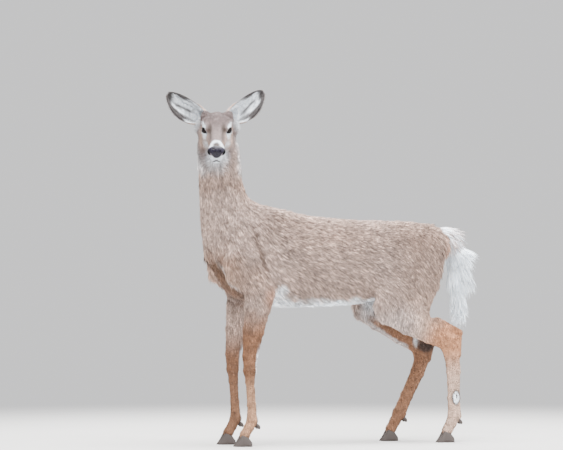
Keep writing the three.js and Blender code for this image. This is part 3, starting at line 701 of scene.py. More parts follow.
def leg_glands(p, colour, tone):
    """The white tuft round the dark gland outside each hind cannon, and the dark one inside each hock."""
    side = np.abs(p[:, 1])
    for sign, cannon, hock in ((-1, (932, 173), (915, 395)), (1, (812, 177), (884, 368))):
        own = (p[:, 1] * sign > 0) & (p[:, 2] < 560) & (p[:, 0] > 500)
        outer = own * rise(side, 92, 100)
        q = np.stack([p[:, 0], 0 * side, p[:, 2]], -1)
        colour = paint(colour, tone["dark"], 0.95 * outer * spot(q, (cannon[0], 0, cannon[1]), (19, 1, 30), 0.15))
        colour = paint(colour, tone["white"], outer * spot(q, (cannon[0], 0, cannon[1]), (13, 1, 22), 0.2))
        colour = paint(colour, tone["dark"], outer * spot(q, (cannon[0] + 1, 0, cannon[1] + 6), (4.5, 1, 10), 0.4))
        inside = own * rise(-side, -94, -84)
        colour = paint(colour, tone["dark"], 0.9 * inside * spot(q, (hock[0], 0, hock[1]), (40, 1, 30), 0.35))
        colour = paint(colour, tone["white"], 0.7 * inside * spot(q, (hock[0] - 47, 0, hock[1] + 24), (8, 1, 27), 0.5))
    return colour


def head_marking(p, tone):
    q = to_head(p)
    u, v, w = q.T
    s = np.abs(v)
    one_side = mirrored(q)
    colour = np.tile(mix(tone["grey"], tone["brown"], 0.3) * (0.50, 0.54, 0.62), (len(p), 1))
    crown = rise(w, 24, 50) * rise(-u, -190, -110)
    colour = paint(colour, mix(tone["grey"], tone["brown"], 0.6) * (0.36, 0.38, 0.46), 0.85 * crown)
    colour = paint(colour, tone["brown"] * 0.1, 0.9 * spot(one_side, (150, 26, 38), (34, 9, 16), 0.6))
    colour = paint(colour, tone["brown"] * 0.1, 0.65 * spot(one_side, (192, 26, 22), (44, 8, 16), 0.6))
    # the cheek's own grey, painted paler partly for its colour and partly as painted light to offset the shade where it
    # turns away
    colour = paint(colour, tone["grey"] * 1.1, 0.8 * spot(one_side, (125, 60, -20), (72, 30, 50), 0.5))
    colour = paint(colour, tone["tan"], 0.45 * spot(one_side, (105, 62, -10), (40, 24, 40), 0.5))
    colour = paint(colour, tone["grey"], 0.8 * spot(one_side, (160, 44, -6), (56, 26, 32), 0.5))
    colour = paint(colour, tone["white"], 0.55 * spot(one_side, (172, 38, -24), (46, 20, 16), 0.6))
    # throat, lower jaw and chin
    throat = rise(-w, 34, 58) * rise(u, 20, 70) * rise(-s, -48, -20)
    colour = paint(colour, tone["white"], 0.7 * throat)
    colour = paint(colour, tone["white"], rise(-w, 34, 42) * rise(u, 196, 214))
    # white band round the nose, upper lip and a dark streak behind it
    band = rise(u - 18 * rise(s, 12, 30), 226, 238)
    colour = paint(colour, tone["white"], band)
    colour = paint(colour, tone["brown"] * 0.2, 0.95 * spot(q, (264, 0, 20), (17, 14, ANY), 0.5) * (w > 0))
    colour = paint(colour, tone["white"], 0.9 * rise(-w, 16, 26) * rise(u, 215, 240))
    # her own dark spot on each side of the muzzle; its weaker strength on her right side is painted light, following
    # how the light falls across the face
    colour = paint(colour, tone["dark"], 0.9 * spot(one_side, (184, 42, -11), (15, 9, 7), 0.6) * mix(0.25, 1, v > 0))
    colour = paint(colour, tone["brown"], 0.6 * spot(one_side, (226, 32, 8), (16, 12, 14), 0.6))
    colour = paint(colour, tone["dark"], 0.95 * (1 - rise(mouth_line(one_side), 0.3, 2.0)))
    # the rings round the eyes
    offset = one_side - EYE_CENTRE
    a, b, c = (offset @ EYE_AXES.T).T
    edge = aperture_edge(a, b)
    before = rise(c, -2, 4) * (length_of(offset) < 34)
    ring = rise(-edge, -15, -10) * before
    colour = paint(colour, tone["white"], 0.95 * ring)
    colour = paint(colour, tone["white"], 0.85 * spot(one_side, (118, 46, 39), (24, 16, 8), 0.5))
    colour = paint(colour, tone["white"], 0.75 * spot(one_side, (140, 50, 4), (20, 14, 11), 0.5))
    colour = paint(colour, tone["dark"] * 0.35, rise(-edge, -5.2, -3.8) * before)
    corner = spot(np.stack([a, b, 0 * c], -1), (-17, 1, 0), (6, 3, ANY), 0.5) * before
    colour = paint(colour, tone["dark"] * 0.5, 0.85 * corner)
    colour = paint(colour, tone["dark"] * 0.5, (1 - rise(tear_duct(one_side), -0.5, 2.0)) * 0.9)
    # tan line down from the ear, and pale fur at the ear's root
    colour = paint(colour, tone["rufous"], 0.3 * spot(one_side, (84, 62, 24), (12, 20, 34), 0.5))
    colour = paint(colour, tone["white"], 0.6 * spot(one_side, (18, 74, 4), (18, 22, 26), 0.5))
    return colour


def neck_marking(p, colour, tone):
    """The pale throat patch under the jaw, with a darker band below it."""
    x, y, z = p.T
    front = rise(-(x * 0.35 + y), -40, 20)
    colour = paint(colour, tone["white"], 0.5 * front * rise(z, 1028, 1060) * rise(-np.abs(y - 10), -62, -34))
    return paint(colour, tone["brown"], 0.4 * front * rise(z, 960, 1000) * rise(-z, -1046, -1016))


def marking(p):
    """The coat's colour in linear light at points of the skin."""
    tone = tones()
    wobble = np.stack([lattice_noise(p / 16, seed) + lattice_noise(p / 40, seed + 9) - 1 for seed in (1, 2, 3)], -1)
    moved = p + wobble * (16, 6, 26) * mix(0.25, 1, rise(p[:, 2], 440, 560))[:, None]
    body = leg_glands(p, neck_marking(moved, body_marking(moved, tone), tone), tone)
    face = rise(beyond_neck(p), -22, 14)
    colour = mix(body, head_marking(p, tone), face[:, None])
    tail = (p[:, 0] > 800) * (dock(p) < 14)
    return paint(colour, tone["white"], tail * rise(p[:, 0], 885, 905))


# ---- The lie of the coat --------------------------------------------------------------------------------------


def lie_of_coat(p, normals):
    """The way that the hair points at each point of the skin."""
    x, y, z = p.T
    side = np.sign(y)
    q = to_head(p)
    guide = np.tile([1.0, 0, -0.5], (len(p), 1))
    guide[:, 2] -= 0.5 * rise(-z, -700, -560)
    shoulder = rise(-x, -260, -120)
    guide = mix(guide, np.array([0.55, 0, -1.0]), shoulder[:, None])
    rump = rise(x, 640, 800)
    guide = mix(guide, np.array([0.5, 0, -1.0]), rump[:, None])
    neck = rise((p - NECK_CUT_POINT) @ NECK_CUT_WAY, -60, 60)
    guide = mix(guide, np.array([0.22, 0, -1.0]), neck[:, None])
    leg = rise(-z, -600, -500)
    guide = mix(guide, np.array([0.12, 0, -1.0]), leg[:, None])
    face = rise(beyond_neck(p), -50, 30)
    back = np.stack([-np.ones(len(p)), 0.35 * np.sign(q[:, 1]) * rise(np.abs(q[:, 1]), 4, 30), -0.15 + 0 * x], -1)
    from_eye = q - EYE_CENTRE * np.stack([np.ones(len(p)), np.where(q[:, 1] < 0, -1, 1), np.ones(len(p))], -1)
    near_eye = 1 - rise(length_of(from_eye), 24, 44)
    back = mix(unit(back), unit(from_eye), 0.85 * near_eye[:, None])
    guide = mix(guide, back @ HEAD_AXES, face[:, None])
    tail = (p[:, 0] > 880) & (dock(p) < 8)
    guide[tail] = [0.2, 0, -1.0]
    guide = guide - normals * (guide * normals).sum(-1)[:, None]
    return unit(guide + 1e-6)


def coat_sizes(p):
    """Length, width and lift of the hair."""
    x, y, z = p.T
    q = to_head(p)
    length = mix(8.5, 28.0, rise(z, 360, 660))
    length = length + 12 * rise(-x, -60, 0) * rise(z, 560, 640) * rise(-z, -800, -740)
    length = length + 12 * rise(-(z - BELLY_LINE(x)), -60, -10) * rise(x, 200, 280) * rise(-x, -700, -600)
    length = length + 10 * rise(x, 850, 900) * rise(z, 500, 600)
    neck = rise((p - NECK_CUT_POINT) @ NECK_CUT_WAY, -60, 60)
    length = mix(length, 25.0, neck)
    face = rise(beyond_neck(p), -40, 50)
    muzzle = rise(q[:, 0], 90, 220)
    length = mix(length, mix(13.0, 5.0, muzzle), face)
    offset = mirrored(q) - EYE_CENTRE
    around = 1 - rise(length_of(offset - (16, -8, 4)), 26, 42)
    length = mix(length, 4.0, around * face)
    width = mix(1.3, 2.1, rise(z, 300, 600))
    width = mix(width, mix(1.3, 0.8, muzzle), face)
    lift = mix(mix(mix(0.16, 0.3, rise(z, 300, 600)), 0.2, neck), 0.18, face)
    return length, width, lift


def region_of(p):
    """Which coat piece a place on the skin belongs to, as a number in COAT_REGIONS."""
    x, y, z = p.T
    right = (y > 0).astype(int)
    region = np.where(x < 500, 3, 5) + right
    region = np.where((p - NECK_CUT_POINT) @ NECK_CUT_WAY > 0, 1 + right, region)
    region = np.where((z < 512) & (x < 400), 7 + right, region)
    region = np.where((z < 478 + 0.4 * (x - 650)) & (x > 560), 9 + right, region)
    region = np.where(beyond_neck(p) > 0, 0, region)
    return np.where((x > 895) & (dock(p) < 6) & (z > 530), 11, region)


# name, hairs for each square metre
COAT_REGIONS = (
    ("coat_head", 260000), ("coat_neck_left", 150000), ("coat_neck_right", 150000),
    ("coat_flank_left", 105000), ("coat_flank_right", 105000),
    ("coat_rump_left", 105000), ("coat_rump_right", 105000),
    ("coat_foreleg_left", 190000), ("coat_foreleg_right", 190000),
    ("coat_hindleg_left", 160000), ("coat_hindleg_right", 160000),
    ("coat_tail", 250000),
)


# ---- Node trees --------------------------------------------------------------------------------------------------


class Value:
    """A socket of a node tree. Arithmetic on it adds Math nodes."""

    def __init__(self, tree, socket):
        self.tree, self.socket = tree, socket

    def out(self, name):
        return Value(self.tree, self.socket.node.outputs[name])

    def math(self, operation, a, b=0.0):
        return node(self.tree, "ShaderNodeMath", {"operation": operation}, {0: a, 1: b})

    def __add__(self, other):
        return self.math("ADD", self, other)

    def __radd__(self, other):
        return self.math("ADD", other, self)

    def __sub__(self, other):
        return self.math("SUBTRACT", self, other)

    def __rsub__(self, other):
        return self.math("SUBTRACT", other, self)

    def __mul__(self, other):
        return self.math("MULTIPLY", self, other)

    def __rmul__(self, other):
        return self.math("MULTIPLY", other, self)

    def __truediv__(self, other):
        return self.math("DIVIDE", self, other)

    def __rtruediv__(self, other):
        return self.math("DIVIDE", other, self)

    def __pow__(self, other):
        return self.math("POWER", self, other)

    def __rpow__(self, other):
        return self.math("POWER", other, self)


def node(tree, kind, settings=None, sockets=None, output=0):
    """Adds any node: its settings first, then the values or links of its sockets."""
    made = tree.nodes.new(kind)
    for name, value in (settings or {}).items():
        if name == "stops":
            ramp = made.color_ramp
            while len(ramp.elements) < len(value):
                ramp.elements.new(0.5)
            for element, (at, colour) in zip(ramp.elements, value):
                element.position, element.color = at, colour
        else:
            setattr(made, name, value)
    for key, value in (sockets or {}).items():
        if isinstance(value, Value):
            tree.links.new(value.socket, made.inputs[key])
        else:
            made.inputs[key].default_value = value
    return Value(tree, made.outputs[output]) if made.outputs else made


def step_up(value, low, high):
    """0 below low, 1 above high and smooth between, as a node."""
    return node(value.tree, "ShaderNodeMapRange", {"interpolation_type": "SMOOTHSTEP"},
                {"Value": value, "From Min": low, "From Max": high})


def blend_colour(tree, a, b, factor, how="MIX"):
    made = node(tree, "ShaderNodeMix", {"data_type": "RGBA", "blend_type": how},
                {"Factor": factor, "A": a, "B": b} if False else None)
    mixer = made.socket.node
    for key, value in ((0, factor), (6, a), (7, b)):
        if isinstance(value, Value):
            tree.links.new(value.socket, mixer.inputs[key])
        else:
            mixer.inputs[key].default_value = value
    return Value(tree, mixer.outputs[2])


def vector_math(tree, operation, a, b=(0, 0, 0), output=0):
    sockets = {0: a}
    if operation == "SCALE":
        sockets["Scale"] = b
    elif operation not in ("LENGTH", "NORMALIZE"):
        sockets[1] = b
    return node(tree, "ShaderNodeVectorMath", {"operation": operation}, sockets, output)


def new_material(name):
    material = bpy.data.materials.new(name)
    material.use_nodes = True
    material.node_tree.nodes.clear()
    return material, material.node_tree


def finish_material(tree, sockets, bump=None, strength=0.3, distance=0.001):
    if bump is not None:
        sockets["Normal"] = node(tree, "ShaderNodeBump", None,
                                 {"Strength": strength, "Distance": distance, "Height": bump})
    shader = node(tree, "ShaderNodeBsdfPrincipled", None, sockets)
    node(tree, "ShaderNodeOutputMaterial", None, {"Surface": shader})


def object_position(tree):
    return node(tree, "ShaderNodeTexCoord").out("Object")


def noise(tree, position, scale, detail=2.0, roughness=0.5, stretch=None):
    if stretch:
        position = vector_math(tree, "MULTIPLY", position, stretch)
    return node(tree, "ShaderNodeTexNoise", None,
                {"Vector": position, "Scale": scale, "Detail": detail, "Roughness": roughness})


def found_or_made(name, make):
    return bpy.data.materials.get(name) or make(name)


def coat_material(name):
    """Hair: the colour each tuft carries, dull, with a faint bloom."""
    material, tree = new_material(name)
    tone = node(tree, "ShaderNodeAttribute", {"attribute_name": "tone"})
    grain = noise(tree, object_position(tree), 900.0, 1.0)
    colour = blend_colour(tree, tone, (0.5, 0.5, 0.5, 1.0), 0.0)
    shade = step_up(grain, 0.3, 0.7) * 0.16 + 0.92
    colour = vector_math(tree, "SCALE", colour, shade)
    finish_material(tree, {"Base Color": colour, "Roughness": 0.82, "Specular IOR Level": 0.22,
                           "Sheen Weight": 0.06, "Sheen Roughness": 0.5})
    return material


def skin_material(name):
    """The short under-fur on the skin: the same markings, streaked, with a fine ribbed bump."""
    material, tree = new_material(name)
    tone = node(tree, "ShaderNodeAttribute", {"attribute_name": "tone"})
    position = object_position(tree)
    streak = noise(tree, position, 1.0, 3.0, 0.6, (90.0, 340.0, 260.0))
    fine = noise(tree, position, 1100.0, 2.0)
    shade = step_up(streak, 0.3, 0.7) * 0.3 + 0.66
    colour = vector_math(tree, "SCALE", tone, shade)
    finish_material(tree, {"Base Color": colour, "Roughness": 0.85, "Specular IOR Level": 0.2},
                    streak + fine * 0.4, 0.5, 0.0012)
    return material


def nose_material(name):
    """Bare wet leather, pebbled, near black, with a painted highlight on the rim of each nostril and painted shade in
    the nostril holes.
    """
    material, tree = new_material(name)
    position = object_position(tree)
    pebbles = node(tree, "ShaderNodeTexVoronoi", {"feature": "F1"}, {"Vector": position, "Scale": 620.0})
    mottle = noise(tree, position, 160.0, 3.0)
    colour = blend_colour(tree, (0.004, 0.003, 0.007, 1), (0.018, 0.015, 0.028, 1), step_up(mottle, 0.35, 0.7))
    # painted highlight: the pale crescent where each nostril's wet rim catches the light
    crescent = node(tree, "ShaderNodeAttribute", {"attribute_name": "crescent"}, None, "Fac")
    colour = blend_colour(tree, colour, (0.40, 0.35, 0.40, 1), crescent)
    # painted shade: near black inside the nostril holes, which are also rougher
    hollow = node(tree, "ShaderNodeAttribute", {"attribute_name": "hollow"}, None, "Fac")
    colour = blend_colour(tree, colour, (0.001, 0.001, 0.001, 1), hollow)
    rough = step_up(mottle, 0.3, 0.7) * 0.16 + 0.24 + hollow * 0.5
    finish_material(tree, {"Base Color": colour, "Roughness": rough, "Specular IOR Level": 0.22},
                    1.0 - pebbles, 0.45, 0.0006)
    return material


def horn_material(name):
    """Hoof horn: dark, ringed from the hairline down, worn pale at the edge that meets the ground."""
    material, tree = new_material(name)
    position = object_position(tree)
    height = node(tree, "ShaderNodeSeparateXYZ", None, {0: position}, 2)
    rings = noise(tree, position, 1.0, 2.0, 0.5, (60.0, 60.0, 520.0))
    grain = noise(tree, position, 1.0, 2.0, 0.6, (420.0, 420.0, 60.0))
    base = blend_colour(tree, (0.010, 0.008, 0.007, 1), (0.034, 0.026, 0.022, 1), step_up(grain, 0.3, 0.72))
    worn = (1.0 - step_up(height, 0.0005, 0.009)) * 0.6
    colour = blend_colour(tree, base, (0.085, 0.068, 0.055, 1), worn)
    rough = step_up(grain, 0.2, 0.8) * 0.2 + 0.42
    finish_material(tree, {"Base Color": colour, "Roughness": rough, "Specular IOR Level": 0.25},
                    rings + grain * 0.5, 0.9, 0.0012)
    return material


def eye_material(name, side):
    """A dark wet eye: brown iris round a long level pupil, clear glossy front."""
    material, tree = new_material(name)
    mirror = np.array([1, -side, 1])
    axes = (EYE_AXES * mirror) @ HEAD_AXES
    centre = placed(from_head(EYE_CENTRE * mirror))
    offset = vector_math(tree, "SUBTRACT", object_position(tree), tuple(centre))
    flat = EYE_RADIUS * MM
    a, b = (vector_math(tree, "DOT_PRODUCT", offset, tuple(axis / flat), 1) for axis in axes[:2])
    reach = (a * a + b * b) ** 0.5
    pupil = ((a / 0.36) ** 2.0 + (b / 0.17) ** 2.0) ** 0.5
    rays = noise(tree, offset, 900.0, 3.0)
    iris = blend_colour(tree, (0.004, 0.002, 0.002, 1), (0.012, 0.006, 0.004, 1), step_up(rays, 0.35, 0.7))
    colour = blend_colour(tree, (0.002, 0.002, 0.003, 1), iris, step_up(pupil, 0.85, 1.15))
    colour = blend_colour(tree, colour, (0.006, 0.004, 0.004, 1), step_up(reach, 0.6, 0.74))
    finish_material(tree, {"Base Color": colour, "Roughness": 0.06, "Specular IOR Level": 0.14})
    return material


def floor_material(name):
    """Plain pale floor that fades into the background."""
    material, tree = new_material(name)
    position = object_position(tree)
    away = vector_math(tree, "LENGTH", position, output=1)
    mottle = noise(tree, position, 3.0, 3.0)
    colour = blend_colour(tree, (0.60, 0.59, 0.575, 1), (0.66, 0.65, 0.635, 1), mottle)
    shader = node(tree, "ShaderNodeBsdfPrincipled", None, {"Base Color": colour, "Roughness": 0.8})
    clear = node(tree, "ShaderNodeBsdfTransparent")
    mixed = node(tree, "ShaderNodeMixShader", None, {0: step_up(away, 1.3, 3.4), 1: shader, 2: clear})
    node(tree, "ShaderNodeOutputMaterial", None, {"Surface": mixed})
    return material


# ---- Tufts of hair by Geometry Nodes ---------------------------------------------------------------------------------

TREE_INPUTS = (
    ("Region", "NodeSocketInt"), ("Density", "NodeSocketFloat"), ("Clump", "NodeSocketFloat"),
    ("Curl", "NodeSocketFloat"), ("Segments", "NodeSocketInt"), ("Seed", "NodeSocketInt"),
    ("Material", "NodeSocketMaterial"),
)


def named(tree, name, kind="FLOAT"):
    return node(tree, "GeometryNodeInputNamedAttribute", {"data_type": kind}, {"Name": name})


def random_value(tree, low, high, seed):
    made = node(tree, "FunctionNodeRandomValue", {"data_type": "FLOAT"}, {2: low, 3: high, "Seed": seed})
    return Value(tree, made.socket.node.outputs[1])


def keep_attribute(tree, geometry, name, kind, value, domain="POINT"):
    return node(tree, "GeometryNodeStoreNamedAttribute", {"data_type": kind, "domain": domain},
                {"Geometry": geometry, "Name": name, "Value": value})


def tuft_tree():
    """Scatters tapered tufts over a surface, each laid along the coat and bent back towards the skin."""
    found = bpy.data.node_groups.get("tufts")
    if found:
        return found
    tree = bpy.data.node_groups.new("tufts", "GeometryNodeTree")
    tree.interface.new_socket("Geometry", in_out="INPUT", socket_type="NodeSocketGeometry")
    for name, kind in TREE_INPUTS:
        tree.interface.new_socket(name, in_out="INPUT", socket_type=kind)
    tree.interface.new_socket("Geometry", in_out="OUTPUT", socket_type="NodeSocketGeometry")
    given = node(tree, "NodeGroupInput")
    position = node(tree, "GeometryNodeInputPosition")
    here = node(tree, "FunctionNodeCompare", {"data_type": "INT", "operation": "EQUAL"})
    compare = here.socket.node
    tree.links.new(named(tree, "region", "INT").socket, compare.inputs[2])
    tree.links.new(given.out("Region").socket, compare.inputs[3])
    points = node(tree, "GeometryNodeDistributePointsOnFaces", {"distribute_method": "RANDOM"}, {
        "Mesh": given.out("Geometry"), "Selection": here,
        "Density": named(tree, "coat_density") * given.out("Density"), "Seed": given.out("Seed"),
    })
    normal = points.out("Normal")
    rooted = keep_attribute(tree, points, "root", "FLOAT_VECTOR", position)
    rooted = keep_attribute(tree, rooted, "chance", "FLOAT", random_value(tree, 0.0, 1.0, 11))

    # the unit tuft: a thin closed blade from a point, widest in its middle, with a ridge, bent towards the skin
    cone = node(tree, "GeometryNodeMeshCone", {"fill_type": "NONE"}, {
        "Vertices": 3, "Side Segments": given.out("Segments"), "Radius Top": 0.0, "Radius Bottom": 1.0, "Depth": 1.0,
    })
    cone = keep_attribute(tree, cone, "local", "FLOAT_VECTOR", position)
    split = node(tree, "ShaderNodeSeparateXYZ", None, {0: position})
    ridge, across, z = split, split.out("Y"), split.out("Z")
    belly = z ** 0.5 * 2.6
    shaped = node(tree, "ShaderNodeCombineXYZ", None, {
        "X": across * belly * 0.58, "Y": ridge * belly * 0.03 - given.out("Curl") * z * z, "Z": z,
    })
    cone = node(tree, "GeometryNodeSetPosition", None, {"Geometry": cone, "Position": shaped})
    cone = node(tree, "GeometryNodeMergeByDistance", None, {"Geometry": cone, "Distance": 1e-4})

    # direction: along the coat, raised by the lift, swayed so that neighbours gather into locks
    sway = node(tree, "ShaderNodeTexNoise", None, {"Vector": position, "Scale": 62.0, "Detail": 1.0}).out("Color")
    sway = vector_math(tree, "SUBTRACT", sway, (0.5, 0.5, 0.5))
    sway = vector_math(tree, "SCALE", sway, given.out("Clump"))
    own = node(tree, "FunctionNodeRandomValue", {"data_type": "FLOAT_VECTOR"},
               {0: (-0.09, -0.09, -0.09), 1: (0.09, 0.09, 0.09), "Seed": 5})
    raised = named(tree, "coat_lift") * random_value(tree, 0.75, 1.25, 23)
    way = vector_math(tree, "ADD", named(tree, "lay", "FLOAT_VECTOR"), vector_math(tree, "SCALE", normal, raised))
    way = vector_math(tree, "ADD", vector_math(tree, "ADD", way, sway), own)
    turn = node(tree, "FunctionNodeAxesToRotation", {"primary_axis": "Z", "secondary_axis": "Y"},
                {"Primary Axis": way, "Secondary Axis": normal})
    reach = named(tree, "coat_length") * random_value(tree, 0.72, 1.18, 37)
    size = node(tree, "ShaderNodeCombineXYZ", None, {
        "X": named(tree, "coat_width") * random_value(tree, 0.75, 1.25, 41), "Y": reach, "Z": reach,
    })
    tufts = node(tree, "GeometryNodeInstanceOnPoints", None,
                 {"Points": rooted, "Instance": cone, "Rotation": turn, "Scale": size})
    solid = node(tree, "GeometryNodeRealizeInstances", None, {"Geometry": tufts})
    solid = node(tree, "GeometryNodeSetMaterial", None, {"Geometry": solid, "Material": given.out("Material")})
    node(tree, "NodeGroupOutput", None, {"Geometry": solid})
    return tree


def grow(name, source, settings):
    """Runs the tuft tree on a copy of a surface and returns the hair as a plain mesh object."""
    tree = tuft_tree()
    copy = bpy.data.objects.new(name, source.data)
    modifier = copy.modifiers.new("tufts", "NODES")
    modifier.node_group = tree
    inputs = {s.name: s.identifier for s in tree.interface.items_tree if s.in_out == "INPUT"}
    for key, value in settings.items():
        modifier[inputs[key]] = value
    bpy.context.scene.collection.objects.link(copy)
    bpy.context.view_layer.update()
    evaluated = copy.evaluated_get(bpy.context.evaluated_depsgraph_get())
    mesh = bpy.data.meshes.new_from_object(evaluated)
    copy.modifiers.remove(modifier)
    bpy.data.objects.remove(copy)
    mesh.name = name
    return object_from(name, mesh, None)


def tint_tufts(mesh, spread=1.0, foot=0.5, tip=None):
    """Colours each tuft from its root: gathered light and dark flecks, darker at the foot than at the tip, partly the
    hair's own darker base and partly painted shade deep in the coat.
    """
    root, local, tone = read(mesh, "root"), read(mesh, "local"), read(mesh, "tone")[:, :3]
    chance = read(mesh, "chance")
    p = unplaced(root)
    upright = rise(p[:, 2], 860, 960) + rise(-p[:, 2], -560, -480)
    lean = math.radians(30)
    flat = np.stack([(p[:, 0] * math.cos(lean) - p[:, 2] * math.sin(lean)) / 17,
                     (p[:, 0] * math.sin(lean) + p[:, 2] * math.cos(lean)) / 4.6, p[:, 1] / 8], -1)
    tall = p / (4.6, 4.6, 17)
    fleck = mix(lattice_noise(flat, 3), lattice_noise(tall, 4), np.clip(upright, 0, 1))
    broad = lattice_noise(p / 55, 8)
    bright = np.exp(spread * (1.15 * (fleck - 0.5) + 0.4 * (broad - 0.5) + 1.15 * (chance - 0.5)))
    along = np.clip(local[:, 2], 0, 1)
    # the foot of each tuft is darker: partly the hair's own darker base, partly painted shade deep in the coat
    bright *= mix(foot, 1.12, rise(along, 0.0, 0.7))
    if tip is not None:
        tone = paint(tone, tip, 0.7 * rise(along, 0.6, 0.9) * rise(p[:, 2], 770, 790) * rise(chance, 0.1, 0.4))
    colour = tone * bright[:, None]
    store(mesh, "tone", "FLOAT_COLOR", np.concatenate([colour, np.ones((len(p), 1))], 1))
    return p, local


def bake_map(mesh, around, along, local, patch=0.003):
    """The map OFBake: each tuft is a small patch at its root's place on the unwrapped skin."""
    def spread(value):
        low, high = value.min(), value.max()
        return 0.01 + 0.975 * (value - low) / max(high - low, 1e-6)

    across = local[:, 0] + 0.35 * local[:, 1]
    u = spread(around) + patch * (across * 0.5)
    v = spread(along) + patch * (local[:, 2] + 0.15 * local[:, 1])
    corners = np.empty(len(mesh.loops), np.int64)
    mesh.loops.foreach_get("vertex_index", corners)
    layer = mesh.uv_layers.get("OFBake") or mesh.uv_layers.new(name="OFBake")
    layer.data.foreach_set("uv", np.stack([u, v], -1)[corners].astype(np.float32).ravel())


def unwrapped(region, p):
    """Where a root lies round and along the body part that it grows on."""
    x, y, z = p.T
    if region == 0:
        q = to_head(p)
        return np.arctan2(q[:, 1], q[:, 2] - 5), q[:, 0]
    if region in (1, 2):
        front, rear = (curve_through([r[0] for r in NECK], [r[k] for r in NECK])(z) for k in (1, 2))
        return np.arctan2(np.abs(y), x - (front + rear) / 2), z
    if region < 7:
        return np.arctan2(np.abs(y), z - (BELLY_LINE(x) + BACK_LINE(x)) / 2), x
    if region < 11:
        side, rows = list(LEGS.values())[region - 7]
        heights = [row[0][2] for row in rows][::-1]
        middle = [row[0][0] for row in rows][::-1]
        return np.arctan2(y - side * 90, x - np.interp(z, heights, middle)), z
    return np.arctan2(y, x - 955), z


def clean(mesh):
    for name in [a.name for a in mesh.attributes]:
        if name in ("root", "local", "chance", "lay", "region") or name.startswith("coat_"):
            mesh.attributes.remove(mesh.attributes[name])


def finish_piece(piece, slot, *nodes):
    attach(piece, "root")
    if nodes:
        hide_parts(*nodes)
    return piece


# ---- Skin -----------------------------------------------------------------------------------------------------------


def near_head(middles):
    return beyond_neck(middles) > -12


def near_features(middles):
    """Round the eyes, the mouth and the end of the muzzle."""
    q = to_head(middles)
    one_side = mirrored(q)
    offset = one_side - EYE_CENTRE
    out = offset @ EYE_AXES[2]
    eye = (length_of(offset) < 30) & (out > 0)
    return (eye | (np.abs(mouth_line(one_side)) < 7)) & near_head(middles)


def near_lids(middles):
    q = to_head(middles)
    offset = mirrored(q) - EYE_CENTRE
    a, b, c = (offset @ EYE_AXES.T).T
    return (np.abs(aperture_edge(a, b)) < 4) & (c > 0) & (length_of(offset) < 26) & near_head(middles)


def lower_legs(middles):
    return middles[:, 2] < 300


def build_skin(settings):
    cell = settings.cell * 1.0
    points, faces = surface_of(skin_field, (-190, -300, 20), (1020, 200, 1330), cell)
    mesh = mesh_from("skin", points, faces)
    for _ in range(3):
        edges = edges_of(mesh)
        points = mix(points, neighbour_mean(points, edges, len(points)), 0.5)
        points = settle(points, skin_field, 2, cell / 2)
    set_points(mesh, points)
    detailed = lambda p: skin_field(p, True)
    refine(mesh, lower_legs)
    steps = [(near_head, cell / 3), (near_head, cell / 5)]
    steps += [(near_features, cell / 8), (near_lids, cell / 12)]
    for chosen, most in steps:
        refine(mesh, chosen)
        points = points_of(mesh)
        area = near_head(points)
        relaxed = mix(points, neighbour_mean(points, edges_of(mesh), len(points)), 0.4)
        points[area] = settle(relaxed[area], detailed, 3, most)
        set_points(mesh, points)
    points = points_of(mesh)
    legs = points[:, 2] < 310
    points[legs] = settle(points[legs], skin_field, 2, cell / 4)
    return mesh, points


def dress_skin(mesh, points):
    """Gives the skin its markings and all that the coat needs to know."""
    set_points(mesh, placed(points))
    normals = np.empty(len(points) * 3)
    mesh.vertex_normals.foreach_get("vector", normals)
    normals = normals.reshape(-1, 3)
    lay = lie_of_coat(points, normals)
    edges = edges_of(mesh)
    for _ in range(4):
        lay = mix(lay, neighbour_mean(lay, edges, len(points)), 0.5)
        lay = unit(lay - normals * (lay * normals).sum(-1)[:, None])
    length, width, lift = coat_sizes(points)
    q = to_head(points)
    one_side = mirrored(q)
    offset = one_side - EYE_CENTRE
    a, b, c = (offset @ EYE_AXES.T).T
    bare = (aperture_edge(a, b) < 4.2) & (c > 0) & (length_of(offset) < 30)
    bare |= (nose_tip(q) < 1.5) | (nose_philtrum(q) < 1.0) | (nose_lobe(one_side) < 1.5)
    bare |= (mouth_line(one_side) < 0.0) & (q[:, 0] > 190)
    bare |= points[:, 2] < HAIRLINE - 4
    tail = (points[:, 0] > 895) & (dock(points) < 6) & (points[:, 2] > 530)
    backward = rise(normals[:, 0], -0.2, 0.8)
    length = np.where(tail, mix(80, 118, rise(-points[:, 2], -800, -640)) * mix(0.85, 1.0, backward), length)
    width = np.where(tail, 3.2, width)
    lift = np.where(tail, mix(0.35, 0.95, backward) * mix(0.12, 1, rise(points[:, 2], 610, 740))
                    * mix(1, 0.6, rise(points[:, 2], 735, 790)), lift)
    lift = np.where(tail, mix(lift, 2.6, rise(-normals[:, 2], 0.35, 0.75) * (points[:, 2] < 640)), lift)
    store(mesh, "lay", "FLOAT_VECTOR", lay)
    store(mesh, "coat_length", "FLOAT", length * MM)
    store(mesh, "coat_width", "FLOAT", width * MM)
    store(mesh, "coat_lift", "FLOAT", lift)
    store(mesh, "coat_density", "FLOAT", 1.0 - bare)
    store(mesh, "tone", "FLOAT_COLOR", np.concatenate([marking(points), np.ones((len(points), 1))], 1))
    middles = np.empty(len(mesh.polygons) * 3)
    mesh.polygons.foreach_get("center", middles)
    store(mesh, "region", "INT", region_of(unplaced(middles.reshape(-1, 3))), "FACE")


FLESH_NODES = ["trunk", "neck", "head", "tail"] + [
    f"{leg}_{part}" for leg in LEGS for part in ("upper", "cannon", "pastern")
]


# ---- Settings ----------------------------------------------------------------------------------------------------------


def tone_property(name, description, colour):
    return FloatVectorProperty(name=name, description=description, subtype="COLOR", size=3, min=0, max=1,
                               default=colour)


